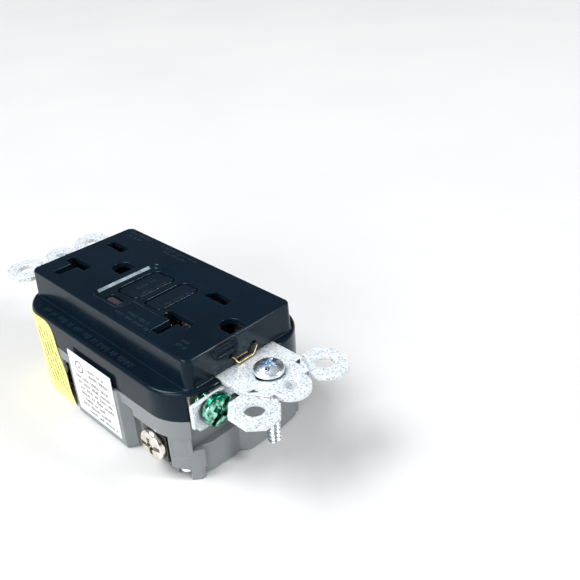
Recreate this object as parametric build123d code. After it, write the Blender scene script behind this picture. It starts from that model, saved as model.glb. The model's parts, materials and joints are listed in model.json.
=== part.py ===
from build123d import *
import math
import os

# Ground-fault receptacle, 20 A decorator style, drawn face up.
# Millimetres. Origin: centre of the strap's mounting plane (its underside, z = 0).
# +Z points out of the face, +Y to the end that is up on the wall, +X to the hot side.

os.makedirs("parts", exist_ok=True)

# ---- driving dimensions ------------------------------------------------------------
FACE_WIDTH = 33.1          # decorator opening standard, less its gap
FACE_LENGTH = 66.4
FACE_TOP = 9.0             # height of the face above the mounting plane
FACE_CORNER = 2.0
FACE_THICKNESS = 1.8
BOSS_DRAFT = 2.6           # degrees of draft on the raised face's walls
BOSS_SPREAD = 0.4          # how far the drafted walls stand out at their root
BOSS_WALL = 1.6
FACE_EDGE_R = 0.6
FLANGE_EDGE_R = 0.9

BODY_WIDTH = 43.4          # skirt and grey band outline
BODY_LENGTH = 71.2
BODY_CORNER = 11.5
FLANGE_TOP = 1.3
FLANGE_UNDER = 0.05
SKIRT_BOTTOM = -7.0
SKIRT_WALL = 1.5

STRAP_THICK = 1.35
STRAP_HALF_WIDTH = 9.2
BOX_SCREW_SPACING = 83.34  # device mounting screws
PLATE_SCREW_SPACING = 96.84
EAR_X = 11.2
EAR_Y = 48.5
EAR_WIDTH = 10.4
EAR_LENGTH = 11.6
EAR_HOLE_R = 2.4
EAR_CORNER_CUT = 3.0
PLATE_HOLE_R = 1.6

BLADE_PITCH_X = 12.7       # between the two blade slots of one receptacle
GROUND_OFFSET = 11.9       # ground hole below the blade line
BLADE_LINES = {"upper": 25.6, "lower": -18.1}
SLOT_WIDTH = 2.8
HOT_SLOT_LENGTH = 7.5
NEUTRAL_SLOT_LENGTH = 9.3
BRANCH_SLOT_LENGTH = 5.6
GROUND_HOLE_R = 2.6

BAND_BOTTOM = -10.0        # grey band below the skirt, between the terminals
BAND_BOTTOM_ENDS = -12.0
BAND_STEP_Y = 15.9
CORE_HALF_WIDTH = 18.5
CORE_HALF_LENGTH = 28.0
BODY_BOTTOM = -24.5
FOOT_BOTTOM = -25.0
BODY_WALL = 1.6
BLOCK_HALF_WIDTH = 22.4
BLOCK_HALF_LENGTH = 11.0
BLOCK_TAPER_END = 12.8
POST_BOTTOM = -21.6        # corner posts of the assembly screws
TERMINAL_Y = 23.2          # centre of each terminal screw along the body
TERMINAL_Z = -16.4
LEDGE_TOP = -22.7          # sill under each terminal, notched twice to guide the wires in
LEDGE_HALF_WIDTH = 19.3
WIRE_HOLE_X = 19.15
WIRE_HOLE_OFFSET = 2.9
WIRE_HOLE_R = 1.15

BUTTON_X = -0.65
BUTTON_WIDTH = 12.6
TEST_BUTTON_Y = 2.4
TEST_BUTTON_LENGTH = 8.6
RESET_BUTTON_Y = -8.15
RESET_BUTTON_LENGTH = 6.7
BUTTON_GAP = 0.35

BOARD_TOP = -20.4
BOARD_THICK = 1.6
FLOOR_TOP = -7.2           # floor of the middle housing
FLOOR_UNDER = -8.4
CONTACT_FACE = -9.55       # fixed contact tips' underside
CONTACT_X = 8.0
SOLENOID_X = -0.6
SOLENOID_Z = -14.9
COIL_X = -6.5
COIL_Y = -20.0
LINE_PIN_DX = 1.05         # the two line conductors stand either side of the coils' centre
LINE_PIN_DY = 0.75
LINE_PIN_R = 0.7


# ---- small helpers -------------------------------------------------------------------
def block(x_low, x_high, y_low, y_high, z_low, z_high):
    """Box between limits."""
    size = (x_high - x_low, y_high - y_low, z_high - z_low)
    centre = ((x_low + x_high) / 2, (y_low + y_high) / 2, (z_low + z_high) / 2)
    return Pos(*centre) * Box(*size)


def post(x, y, radius, z_low, z_high):
    """Cylinder along Z."""
    return Pos(x, y, (z_low + z_high) / 2) * Cylinder(radius, z_high - z_low)


def rod_x(y, z, radius, x_low, x_high):
    """Cylinder along X."""
    return Pos((x_low + x_high) / 2, y, z) * Rot(0, 90, 0) * Cylinder(radius, abs(x_high - x_low))


def rod_y(x, z, radius, y_low, y_high):
    """Cylinder along Y."""
    return Pos(x, (y_low + y_high) / 2, z) * Rot(90, 0, 0) * Cylinder(radius, y_high - y_low)


def rounded_prism(width, length, corner, z_low, z_high, x=0.0, y=0.0):
    """Upright prism with rounded corners."""
    return extrude(Pos(x, y, z_low) * RectangleRounded(width, length, corner), z_high - z_low)


def outline_prism(points, z_low, z_high):
    """Upright prism over a closed polygon of (x, y) points."""
    return extrude(Pos(0, 0, z_low) * make_face(Polyline(*points, close=True)), z_high - z_low)


def coil_spring(radius, wire, z_low, z_high, turns, x=0.0, y=0.0):
    """Compression spring along Z: a helix swept with a round wire."""
    rise = z_high - z_low - wire
    path = Helix(pitch=rise / turns, height=rise, radius=radius)
    profile = Plane(origin=path @ 0, z_dir=path % 0) * Circle(wire / 2)
    return Pos(x, y, z_low + wire / 2) * sweep(profile, path=path)


def save(name, shape):
    """Write one named sub-part."""
    shape.label = name
    export_step(shape, f"parts/{name}.step")


def both_sides(shape):
    """The shape and its mirror image across the long centre plane."""
    return shape + mirror(shape, about=Plane.YZ)


def four_corners(shape):
    """The shape mirrored into all four corners."""
    return both_sides(shape + mirror(shape, about=Plane.XZ))


# ---- shared outlines -------------------------------------------------------------------
def ramp_cutter(drop_far, drop_near, y_far, y_near):
    """Everything above a plane that drops below the face at y_far and meets it at y_near."""
    high = FACE_TOP + 3
    points = [(y_far, FACE_TOP - drop_far), (y_near, FACE_TOP - drop_near), (y_near, high), (y_far, high)]
    profile = Plane.YZ * make_face(Polyline(*points, close=True))
    return extrude(profile, amount=40, both=True)


PANEL_DEPTH = 1.1
PANEL_PAD = 1.0            # extra thickness behind the sloping panel
PANEL_CORNER = 2.2
PANEL_WALL_SLOPE = 35      # degrees off vertical
PANEL_FAR_Y = 9.45
PANEL_NEAR_Y = -11.6
PANEL_CENTRE_X = -0.5
PANEL_WIDTH = 15.8
LED_EAR_LOW_X = -13.0
LED_EAR_NEAR_Y = -2.8
LED_X = -10.3
LED_Y = 2.85
PIPE_WIDTH = 2.2
PIPE_LENGTH = 5.8
PIPE_CORNER = 1.05


def panel_recess():
    """Sloping recess round the buttons, with an ear on the neutral side for the light."""
    depth = PANEL_DEPTH + 0.4
    main_length = PANEL_FAR_Y - PANEL_NEAR_Y + 4
    main_y = PANEL_FAR_Y - main_length / 2
    main = Pos(PANEL_CENTRE_X, main_y, FACE_TOP) * RectangleRounded(PANEL_WIDTH, main_length, PANEL_CORNER)
    ear_width = PANEL_CENTRE_X - LED_EAR_LOW_X
    ear_length = PANEL_FAR_Y - LED_EAR_NEAR_Y
    ear_centre = (LED_EAR_LOW_X + ear_width / 2, PANEL_FAR_Y - ear_length / 2, FACE_TOP)
    ear = Pos(*ear_centre) * RectangleRounded(ear_width, ear_length, PANEL_CORNER)
    walls = extrude(main, -depth, taper=PANEL_WALL_SLOPE) + extrude(ear, -depth, taper=PANEL_WALL_SLOPE)
    return walls & ramp_cutter(PANEL_DEPTH, 0.0, PANEL_FAR_Y, PANEL_NEAR_Y)


def button_window(y, length, grow):
    """Prism of a button's outline, grown by a gap all round."""
    size = (BUTTON_WIDTH + 2 * grow, length + 2 * grow)
    return rounded_prism(*size, 1.6 + grow, FACE_TOP - 8, FACE_TOP + 1, BUTTON_X, y)


def blade_slots(z_low, z_high):
    """Hot slot, T-shaped neutral slot and D-shaped ground hole of both receptacles."""
    tool = None
    half = SLOT_WIDTH / 2
    for line in BLADE_LINES.values():
        hot_x = BLADE_PITCH_X / 2
        hot = block(hot_x - half, hot_x + half, line - HOT_SLOT_LENGTH / 2, line + HOT_SLOT_LENGTH / 2,
                    z_low, z_high)
        neutral = block(-hot_x - half, -hot_x + half, line - NEUTRAL_SLOT_LENGTH / 2,
                        line + NEUTRAL_SLOT_LENGTH / 2, z_low, z_high)
        branch = block(-hot_x - half - BRANCH_SLOT_LENGTH, -hot_x, line - half, line + half, z_low, z_high)
        ground_y = line - GROUND_OFFSET
        arc = post(0, ground_y + 0.7, GROUND_HOLE_R, z_low, z_high)
        flat = block(-GROUND_HOLE_R, GROUND_HOLE_R, ground_y - 2.3, ground_y + 0.7, z_low, z_high)
        group = hot + neutral + branch + arc + flat
        tool = group if tool is None else tool + group
    return tool


ASSEMBLY_SCREW_X = 17.9
ASSEMBLY_SCREW_Y = 30.1
ASSEMBLY_SHANK_R = 0.88
SCOOP_X = (-7.2, -3.4)     # centres of the thumb scoop's round ends
SCOOP_Z = 6.9
SCOOP_R = 2.6
CLIP_TIP_X = (-3.95, 3.4)   # where the grounding clip hooks into the near end wall
CLIP_TIP_Z = 4.05
RELIEF_TOP = 3.4            # roof of the pocket that clears the lower ground contact


# ---- front cover: raised face, flange and skirt in one moulding -------------------------
def make_front_cover():
    root_size = (FACE_WIDTH + 2 * BOSS_SPREAD, FACE_LENGTH + 2 * BOSS_SPREAD)
    root = RectangleRounded(*root_size, FACE_CORNER + BOSS_SPREAD)
    boss = extrude(Pos(0, 0, FLANGE_TOP - 1) * root, FACE_TOP - FLANGE_TOP + 1, taper=BOSS_DRAFT)
    boss = fillet(boss.edges().group_by(Axis.Z)[-1], FACE_EDGE_R)
    shell = rounded_prism(BODY_WIDTH, BODY_LENGTH, BODY_CORNER, SKIRT_BOTTOM, FLANGE_TOP)
    shell = fillet(shell.edges().group_by(Axis.Z)[-1], FLANGE_EDGE_R)
    shell -= rounded_prism(BODY_WIDTH - 2 * SKIRT_WALL, BODY_LENGTH - 2 * SKIRT_WALL,
                           BODY_CORNER - SKIRT_WALL, SKIRT_BOTTOM - 1, FLANGE_UNDER)
    cover = shell + boss
    inside = (FACE_WIDTH - 2 * BOSS_WALL, FACE_LENGTH - 2 * BOSS_WALL)
    cover -= rounded_prism(*inside, 1.0, FLANGE_UNDER - 2, FACE_TOP - FACE_THICKNESS)
    # relief in the near end wall, clear of the lower ground contact
    under_face = FACE_TOP - FACE_THICKNESS
    cover -= block(-4.4, 4.4, -32.75, -31.0, FLANGE_UNDER, RELIEF_TOP)
    # thicker pad behind the sloping panel, then the panel and its openings
    cover += block(-14, 9, -14, 11, under_face - PANEL_PAD, under_face)
    cover -= panel_recess()
    cover -= button_window(TEST_BUTTON_Y, TEST_BUTTON_LENGTH, BUTTON_GAP)
    cover -= button_window(RESET_BUTTON_Y, RESET_BUTTON_LENGTH, BUTTON_GAP)
    cover -= rounded_prism(PIPE_WIDTH + 0.2, PIPE_LENGTH + 0.2, PIPE_CORNER + 0.1,
                           FACE_TOP - 4, FACE_TOP + 1, LED_X, LED_Y)
    cover -= blade_slots(FACE_TOP - 4, FACE_TOP + 1)
    # the strap leaves through a notch at each end
    notch_half = STRAP_HALF_WIDTH + 0.15
    for side in (-1, 1):
        inner = side * (FACE_LENGTH / 2 - 2.0)
        outer = side * (BODY_LENGTH / 2 + 1)
        edge = side * (FACE_LENGTH / 2 + 0.45)
        cover -= block(-notch_half, notch_half, min(inner, outer), max(inner, outer),
                       SKIRT_BOTTOM - 1, STRAP_THICK + 0.05)
        cover -= block(-notch_half, notch_half, min(edge, outer), max(edge, outer),
                       FLANGE_UNDER, FLANGE_TOP + 1)
    # the skirt is open for the ground terminal
    cover -= block(-17.5, 0, -BODY_LENGTH / 2 - 1, -30.5, SKIRT_BOTTOM - 1, FLANGE_UNDER)
    # bosses that take the four assembly screws
    bosses = four_corners(post(ASSEMBLY_SCREW_X, ASSEMBLY_SCREW_Y, 2.0, SKIRT_BOTTOM, FLANGE_UNDER + 0.2))
    bosses = bosses & rounded_prism(BODY_WIDTH, BODY_LENGTH, BODY_CORNER, SKIRT_BOTTOM, FLANGE_TOP)
    cover += bosses
    pilot = post(ASSEMBLY_SCREW_X, ASSEMBLY_SCREW_Y, ASSEMBLY_SHANK_R + 0.02, SKIRT_BOTTOM - 1, -0.6)
    cover -= four_corners(pilot)
    # pockets for the ground clip, and a shallow thumb scoop in the same end wall
    for tip_x in CLIP_TIP_X:
        cover -= block(tip_x - 0.45, tip_x + 0.45, -34.4, -32.6, CLIP_TIP_Z - 0.45, CLIP_TIP_Z + 0.45)
    scoop_y = -FACE_LENGTH / 2 - 2.0
    cover -= rod_x(scoop_y, SCOOP_Z, SCOOP_R, SCOOP_X[0], SCOOP_X[1])
    for end_x in SCOOP_X:
        cover -= Pos(end_x, scoop_y, SCOOP_Z) * Sphere(SCOOP_R)
    return cover


save("front_cover", make_front_cover())

# ---- indicator: light pipe seen in the face, lamp on the board ----------------------------
light_pipe = rounded_prism(PIPE_WIDTH, PIPE_LENGTH, PIPE_CORNER, -17.0, FACE_TOP - 1.4, LED_X, LED_Y)
save("light_pipe", light_pipe)
lamp = post(LED_X, LED_Y, 1.5, BOARD_TOP, -18.4) + Pos(LED_X, LED_Y, -18.4) * Sphere(1.2)
save("indicator_lamp", lamp)


# ---- mounting strap -----------------------------------------------------------------------
RING_OUTER_X = 14.4
RING_INNER_X = 12.3
RING_NEAR_Y = -12.8
RING_FAR_Y = 12.0
SPINE_HALF_WIDTH = 3.2
MOUNT_SLOT_HALF_LENGTH = 3.7
MOUNT_SLOT_HALF_WIDTH = 1.95
TONGUE_R = 4.8             # rounded tongue that carries the plate screw hole
SHOULDER_Y = 43.4          # end of the strap's full width
TONGUE_ROOT_Y = 48.0       # tongue and ears part from here outwards


def ear_outline(centre_x, centre_y):
    """Octagonal plaster ear."""
    half_x = EAR_WIDTH / 2
    half_y = EAR_LENGTH / 2
    cut = EAR_CORNER_CUT
    return [(centre_x - half_x, centre_y - half_y + cut), (centre_x - half_x + cut, centre_y - half_y),
            (centre_x + half_x - cut, centre_y - half_y), (centre_x + half_x, centre_y - half_y + cut),
            (centre_x + half_x, centre_y + half_y - cut), (centre_x + half_x - cut, centre_y + half_y),
            (centre_x - half_x + cut, centre_y + half_y), (centre_x - half_x, centre_y + half_y - cut)]


def strap_end():
    """The half of the strap outside the body, drawn at the +Y end."""
    plate_y = PLATE_SCREW_SPACING / 2
    end = block(-STRAP_HALF_WIDTH, STRAP_HALF_WIDTH, 31.6, SHOULDER_Y, 0, STRAP_THICK)
    end += block(-6.6, 6.6, SHOULDER_Y - 1, TONGUE_ROOT_Y, 0, STRAP_THICK)
    end += post(0, plate_y, TONGUE_R, 0, STRAP_THICK)
    end += both_sides(outline_prism(ear_outline(EAR_X, EAR_Y), 0, STRAP_THICK))
    # drawn collar under the plate screw hole, and the gap between tongue and ear
    end += post(0, plate_y, PLATE_HOLE_R + 1.0, -1.2, 0)
    gap = (TONGUE_R - 0.05, EAR_X - EAR_WIDTH / 2 + 0.05)
    end -= both_sides(block(*gap, TONGUE_ROOT_Y, 60, -1, STRAP_THICK + 1))
    end -= post(0, plate_y, PLATE_HOLE_R, -2, STRAP_THICK + 1)
    end -= both_sides(post(EAR_X, EAR_Y, EAR_HOLE_R, -1, STRAP_THICK + 1))
    slot = SlotOverall(2 * MOUNT_SLOT_HALF_LENGTH, 2 * MOUNT_SLOT_HALF_WIDTH)
    end -= extrude(Pos(0, BOX_SCREW_SPACING / 2, -1) * slot, STRAP_THICK + 2)
    # break-off score across the neck of each ear
    score = Pos(7.95, 45.9, STRAP_THICK) * Rot(0, 0, 30) * Box(0.5, 6.6, 0.6)
    end -= both_sides(score)
    return end


def make_strap():
    near_full_y = BLADE_LINES["lower"] - GROUND_OFFSET + 5.5   # full width from here to the near end
    ends = strap_end() + mirror(strap_end(), about=Plane.XZ)
    spine = block(-SPINE_HALF_WIDTH, SPINE_HALF_WIDTH, near_full_y, RING_NEAR_Y + 1, 0, STRAP_THICK)
    spine += block(-SPINE_HALF_WIDTH, SPINE_HALF_WIDTH, RING_FAR_Y - 1, 32, 0, STRAP_THICK)
    near_pad = block(-STRAP_HALF_WIDTH, STRAP_HALF_WIDTH, -32, near_full_y, 0, STRAP_THICK)
    far_pad = block(-6.5, 6.5, RING_FAR_Y - 2, RING_FAR_Y + 7.0, 0, STRAP_THICK)
    ring = block(-RING_OUTER_X, RING_OUTER_X, RING_NEAR_Y, RING_FAR_Y + 2, 0, STRAP_THICK)
    ring -= block(-RING_INNER_X, RING_INNER_X, RING_NEAR_Y + 2, RING_FAR_Y - 2, -1, STRAP_THICK + 1)
    strap = ends + spine + near_pad + far_pad + ring
    for line in BLADE_LINES.values():
        strap -= post(0, line - GROUND_OFFSET, GROUND_HOLE_R, -1, STRAP_THICK + 1)
    return strap


save("mounting_strap", make_strap())

# ---- ground terminal: bracket under the strap, turned down outside the body ---------------
GROUND_SCREW_X = -13.2
GROUND_SCREW_Z = -2.9
BRACKET_FACE_Y = -36.9
BRACKET_THICK = 1.2
bracket_back_y = BRACKET_FACE_Y + BRACKET_THICK
# tab under the strap, screw plate turned down from it, and the web that joins them
bracket = block(-9.0, -3.5, BRACKET_FACE_Y, -30.2, -BRACKET_THICK, 0.0)
bracket += block(-19.0, -8.0, BRACKET_FACE_Y, bracket_back_y, -7.6, 0.0)
bracket += block(-9.0, -3.5, BRACKET_FACE_Y, bracket_back_y, -3.0, 0.0)
# notch in the plate's outer lower corner
bracket -= block(-20.0, -17.6, BRACKET_FACE_Y - 1, bracket_back_y + 1, -8.0, -6.3)
bracket -= rod_y(GROUND_SCREW_X, GROUND_SCREW_Z, 2.15, BRACKET_FACE_Y - 1, bracket_back_y + 2)
save("ground_terminal_bracket", bracket)

# ---- ground contacts: one socket per receptacle, riveted into the strap --------------------
SOCKET_R = 2.55
SOCKET_BORE_R = 2.15
SOCKET_TOP = 2.9
SOCKET_BOTTOM = -6.0
for place, line in BLADE_LINES.items():
    y = line - GROUND_OFFSET
    socket = post(0, y, SOCKET_R, SOCKET_BOTTOM, SOCKET_TOP)
    socket += block(-4.2, 4.2, y - 2.4, y + 4.2, STRAP_THICK, STRAP_THICK + 0.5)
    socket -= post(0, y, SOCKET_BORE_R, SOCKET_BOTTOM - 1, SOCKET_TOP + 1)
    # the rim is slit so that it can spring open round the pin
    socket -= block(-4.5, 4.5, y - 0.4, y + 0.4, STRAP_THICK + 0.6, SOCKET_TOP + 1)
    save(f"{place}_ground_contact", socket)

# ---- self-grounding clip: thin brass strip across the foot of the near end wall -----------
CLIP_FOOT_X = (-2.75, 2.1)
CLIP_FOOT_Z = 1.95
CLIP_THICK = 0.5
clip = block(*CLIP_FOOT_X, -34.7, -33.95, CLIP_FOOT_Z - CLIP_THICK / 2, CLIP_FOOT_Z + CLIP_THICK / 2)
for foot_x, tip_x in zip(CLIP_FOOT_X, CLIP_TIP_X):
    start = (foot_x, CLIP_FOOT_Z)
    end = (tip_x, CLIP_TIP_Z)
    length = math.dist(start, end)
    angle = math.degrees(math.atan2(end[1] - start[1], end[0] - start[0]))
    middle = ((start[0] + end[0]) / 2, -34.33, (start[1] + end[1]) / 2)
    clip += Pos(*middle) * Rot(0, -angle, 0) * Box(length + 0.4, 0.75, CLIP_THICK)
    clip += block(tip_x - 0.3, tip_x + 0.3, -34.6, -33.0, CLIP_TIP_Z - 0.3, CLIP_TIP_Z + 0.3)
save("self_ground_clip", clip)


# ---- middle housing: insulating tray between the strap and the electronics ------------------
CONTACT_RIVET_LINE_Y = -5.6
CONTACT_RIVET_FACE_Y = -10.7


def make_middle_housing():
    gap = 0.2
    width = BODY_WIDTH - 2 * (SKIRT_WALL + gap)
    length = BODY_LENGTH - 2 * (SKIRT_WALL + gap)
    corner = BODY_CORNER - SKIRT_WALL - gap
    wall = 1.3
    top = -0.15
    tray = rounded_prism(width, length, corner, FLOOR_UNDER, top)
    hollow = rounded_prism(width - 2 * wall, length - 2 * wall, corner - wall, FLOOR_TOP, 1)
    # ribs that keep the two poles apart and stiffen the floor
    ribs = both_sides(block(3.6, 4.4, 18, 32, FLOOR_TOP, top))
    ribs += both_sides(block(3.6, 4.4, -25, -12, FLOOR_TOP, top))
    ribs += both_sides(block(14.6, 15.6, -31, 33, FLOOR_TOP, top))
    for rib_y in (-13.2, 9.6):
        ribs += block(-18, 18, rib_y, rib_y + 0.8, FLOOR_TOP, top)
    tray = tray - hollow + (ribs & rounded_prism(width, length, corner, FLOOR_TOP - 0.1, top))
    # channels through the ribs for the two face contact strips
    tray -= block(4.0, 9.6, -24, 32.5, FLOOR_TOP, 1)
    tray -= block(-14.4, -4.0, -24, 32.5, FLOOR_TOP, 1)
    # guide for the reset rod, and the ways through for pipe, contacts and pins
    tray += post(BUTTON_X, RESET_BUTTON_Y, 1.9, FLOOR_UNDER, FLOOR_TOP + 2.0)
    tray -= post(BUTTON_X, RESET_BUTTON_Y, 1.05, -12, 0)
    tray -= rounded_prism(PIPE_WIDTH + 0.4, PIPE_LENGTH + 0.4, PIPE_CORNER + 0.15, -12, 0, LED_X, LED_Y)
    for x in (-CONTACT_X, CONTACT_X):
        for y in (CONTACT_RIVET_FACE_Y, CONTACT_RIVET_LINE_Y):
            tray -= post(x, y, 1.3, -12, 0)
    tray -= four_corners(post(ASSEMBLY_SCREW_X, ASSEMBLY_SCREW_Y, 2.3, -12, 1))
    # clear of the ground terminal, its screw and the ends of the strap's rivets
    tray -= block(-22, -2.6, -37, -29.6, -1.5, 1)
    tray -= block(-22, -2.6, -37, -31.6, -12, 1)
    tray -= rod_y(GROUND_SCREW_X, GROUND_SCREW_Z, 2.6, -33.0, -29.5)
    return tray


save("middle_housing", make_middle_housing())


# ---- face contact strips: one long brass piece per pole --------------------------------------
LEAF = 0.6
LEAF_GAP_HALF = 0.85
LEAF_TOP = 2.5
STRIP_TOP = FLOOR_TOP + 0.8


def blade_leaves(x, y, length):
    """Two spring leaves either side of a blade that lies along Y."""
    leaves = None
    for side in (-1, 1):
        inner = x + side * LEAF_GAP_HALF
        outer = x + side * (LEAF_GAP_HALF + LEAF)
        leaf = block(min(inner, outer), max(inner, outer), y - length / 2, y + length / 2,
                     FLOOR_TOP, LEAF_TOP)
        leaves = leaf if leaves is None else leaves + leaf
    return leaves


def face_strip(sign):
    x = sign * BLADE_PITCH_X / 2
    cup_half = LEAF_GAP_HALF + LEAF
    strip = block(x - 1.9, x + 1.9, -21.5, 29.5, FLOOR_TOP, STRIP_TOP)
    for line in BLADE_LINES.values():
        strip += blade_leaves(x, line, 6.6)
        if sign < 0:
            # cross leaves of the neutral slot's sideways branch
            branch = Pos(x - 4.6, line, 0) * Rot(0, 0, 90) * blade_leaves(0, 0, 4.0)
            strip += branch + block(x - 6.6, x, line - cup_half, line + cup_half, FLOOR_TOP, STRIP_TOP)
    rivet_x = sign * CONTACT_X
    strip += block(min(x, rivet_x + sign * 1.4), max(x, rivet_x + sign * 1.4),
                   CONTACT_RIVET_FACE_Y - 1.4, CONTACT_RIVET_FACE_Y + 1.4, FLOOR_TOP, STRIP_TOP)
    strip += post(rivet_x, CONTACT_RIVET_FACE_Y, 1.2, CONTACT_FACE, FLOOR_TOP + 0.1)
    # the neutral strip is cut back beside the indicator's light pipe
    if sign < 0:
        strip -= block(-12, -8.6, LED_Y - 3.6, LED_Y + 3.6, -9, 0)
    return strip


save("hot_contact_strip", face_strip(1))
save("neutral_contact_strip", face_strip(-1))


# ---- terminals: plate, pressure clamp and screw, four of each -------------------------------
PLATE_OUTER_X = 17.9
PLATE_INNER_X = 17.0
RISER_INNER_X = 15.8
PLATE_HALF_WIDTH = 4.2
WINDOW_TOP = BAND_BOTTOM_ENDS + 0.2
CLAMP_THICK = 1.0
HEAD_THICK = 1.8
CLAMP_HALF_WIDTH = 4.3
CLAMP_HALF_HEIGHT = 3.9
CLAMP_INNER_X = {"line": 20.3, "load": 18.15}   # line screws stand backed out, load screws tight
SCREW_HEAD_R = 4.1
SCREW_SHANK_R = 2.05
SCREW_SHANK_LENGTH = 5.6
ARM_Z_LOW = -9.9
ARM_Z_HIGH = -9.1


def terminal_plate(side, y):
    """Threaded terminal plate in the side window of the body, with a riser inside the wall."""
    limits = sorted((side * PLATE_INNER_X, side * PLATE_OUTER_X))
    joggle = sorted((side * RISER_INNER_X, side * PLATE_OUTER_X))
    riser = sorted((side * RISER_INNER_X, side * (PLATE_INNER_X - 0.2)))
    plate = block(*limits, y - PLATE_HALF_WIDTH, y + PLATE_HALF_WIDTH, -21.2, WINDOW_TOP - 0.2)
    plate += block(*joggle, y - PLATE_HALF_WIDTH, y + PLATE_HALF_WIDTH, WINDOW_TOP - 0.9, WINDOW_TOP - 0.2)
    plate += block(*riser, y - PLATE_HALF_WIDTH, y + PLATE_HALF_WIDTH, WINDOW_TOP - 0.9, ARM_Z_HIGH)
    return plate - rod_x(y, TERMINAL_Z, SCREW_SHANK_R + 0.08, side * 15, side * 20)


def line_terminal(side, y):
    """Line terminal with the conductor that runs down through the sensing coils."""
    pin_x = COIL_X + side * LINE_PIN_DX
    lane_y = COIL_Y + side * LINE_PIN_DY
    limits = sorted((pin_x, side * RISER_INNER_X))
    arm = block(*limits, lane_y - LINE_PIN_R, lane_y + LINE_PIN_R, ARM_Z_LOW, ARM_Z_HIGH)
    pin = post(pin_x, lane_y, LINE_PIN_R, BOARD_TOP - BOARD_THICK, ARM_Z_HIGH)
    return terminal_plate(side, y) + arm + pin


def load_terminal(side, y):
    """Load terminal with an arm to its fixed contact."""
    outer = sorted((side * 12.6, side * RISER_INNER_X))
    lane = sorted((side * 12.6, side * 14.6))
    inner = sorted((side * (CONTACT_X - 1.3), side * 14.6))
    arm = block(*outer, y - PLATE_HALF_WIDTH, y - 2.4, ARM_Z_LOW, ARM_Z_HIGH)
    arm += block(*lane, CONTACT_RIVET_LINE_Y - 1.3, y - 2.4, ARM_Z_LOW, ARM_Z_HIGH)
    arm += block(*inner, CONTACT_RIVET_LINE_Y - 1.3, CONTACT_RIVET_LINE_Y + 1.3, ARM_Z_LOW + 0.35, ARM_Z_HIGH)
    return terminal_plate(side, y) + arm


def clamp_plate(side, y, inner):
    """Square pressure plate behind the screw head, with ribs that grip the wire."""
    limits = sorted((side * inner, side * (inner + CLAMP_THICK)))
    plate = block(*limits, y - CLAMP_HALF_WIDTH, y + CLAMP_HALF_WIDTH,
                  TERMINAL_Z - CLAMP_HALF_HEIGHT, TERMINAL_Z + CLAMP_HALF_HEIGHT)
    edges = sorted((side * (inner - 0.2), side * inner))
    for rib_y in (-3.3, -2.3, 2.3, 3.3):
        plate += block(*edges, y + rib_y - 0.2, y + rib_y + 0.2,
                       TERMINAL_Z - CLAMP_HALF_HEIGHT + 0.3, TERMINAL_Z + CLAMP_HALF_HEIGHT - 0.3)
    return plate - rod_x(y, TERMINAL_Z, SCREW_SHANK_R + 0.08, side * 17, side * 23)


def screw_recess(depth):
    """Slotted cross recess, cut into the top of a head that faces +Z at z = 0."""
    slot = Box(7.4, 1.1, 2 * depth)
    return slot + Box(1.4, 4.4, 2 * depth)


def terminal_screw(side, y, inner):
    """Pan-head terminal screw along X; inner is the clamp plate's inner face."""
    head_inner = inner + CLAMP_THICK + 0.05
    head_outer = head_inner + HEAD_THICK
    centre = side * (head_inner + head_outer) / 2
    head = Pos(centre, y, TERMINAL_Z) * Rot(0, 90, 0) * Cylinder(SCREW_HEAD_R, HEAD_THICK)
    rim = head.faces().sort_by(Axis.X)[-1 if side > 0 else 0]
    head = fillet(rim.edges(), 0.7)
    head -= Pos(side * head_outer, y, TERMINAL_Z) * Rot(0, 90, 0) * Rot(0, 0, 24) * screw_recess(1.0)
    return head + rod_x(y, TERMINAL_Z, SCREW_SHANK_R, side * (head_inner - SCREW_SHANK_LENGTH),
                         side * (head_inner + 0.1))


for pole, side in (("hot", 1), ("neutral", -1)):
    save(f"line_{pole}_terminal", line_terminal(side, -TERMINAL_Y))
    save(f"load_{pole}_terminal", load_terminal(side, TERMINAL_Y))
    for circuit, y in (("line", -TERMINAL_Y), ("load", TERMINAL_Y)):
        inner = CLAMP_INNER_X[circuit]
        save(f"{circuit}_{pole}_clamp", clamp_plate(side, y, inner))
        save(f"{circuit}_{pole}_screw", terminal_screw(side, y, inner))

# ---- ground screw ------------------------------------------------------------------------------
GROUND_HEAD_Y = -39.8
ground_head = rod_y(GROUND_SCREW_X, GROUND_SCREW_Z, SCREW_HEAD_R, GROUND_HEAD_Y, GROUND_HEAD_Y + 2.2)
ground_head = fillet(ground_head.faces().sort_by(Axis.Y)[0].edges(), 0.6)
head_face = Pos(GROUND_SCREW_X, GROUND_HEAD_Y, GROUND_SCREW_Z) * Rot(90, 0, 0)
ground_head -= head_face * Rot(0, 0, 40) * screw_recess(1.0)
ground_screw = ground_head + rod_y(GROUND_SCREW_X, GROUND_SCREW_Z, SCREW_SHANK_R, GROUND_HEAD_Y + 2.1, -32.4)
save("ground_screw", ground_screw)

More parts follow.
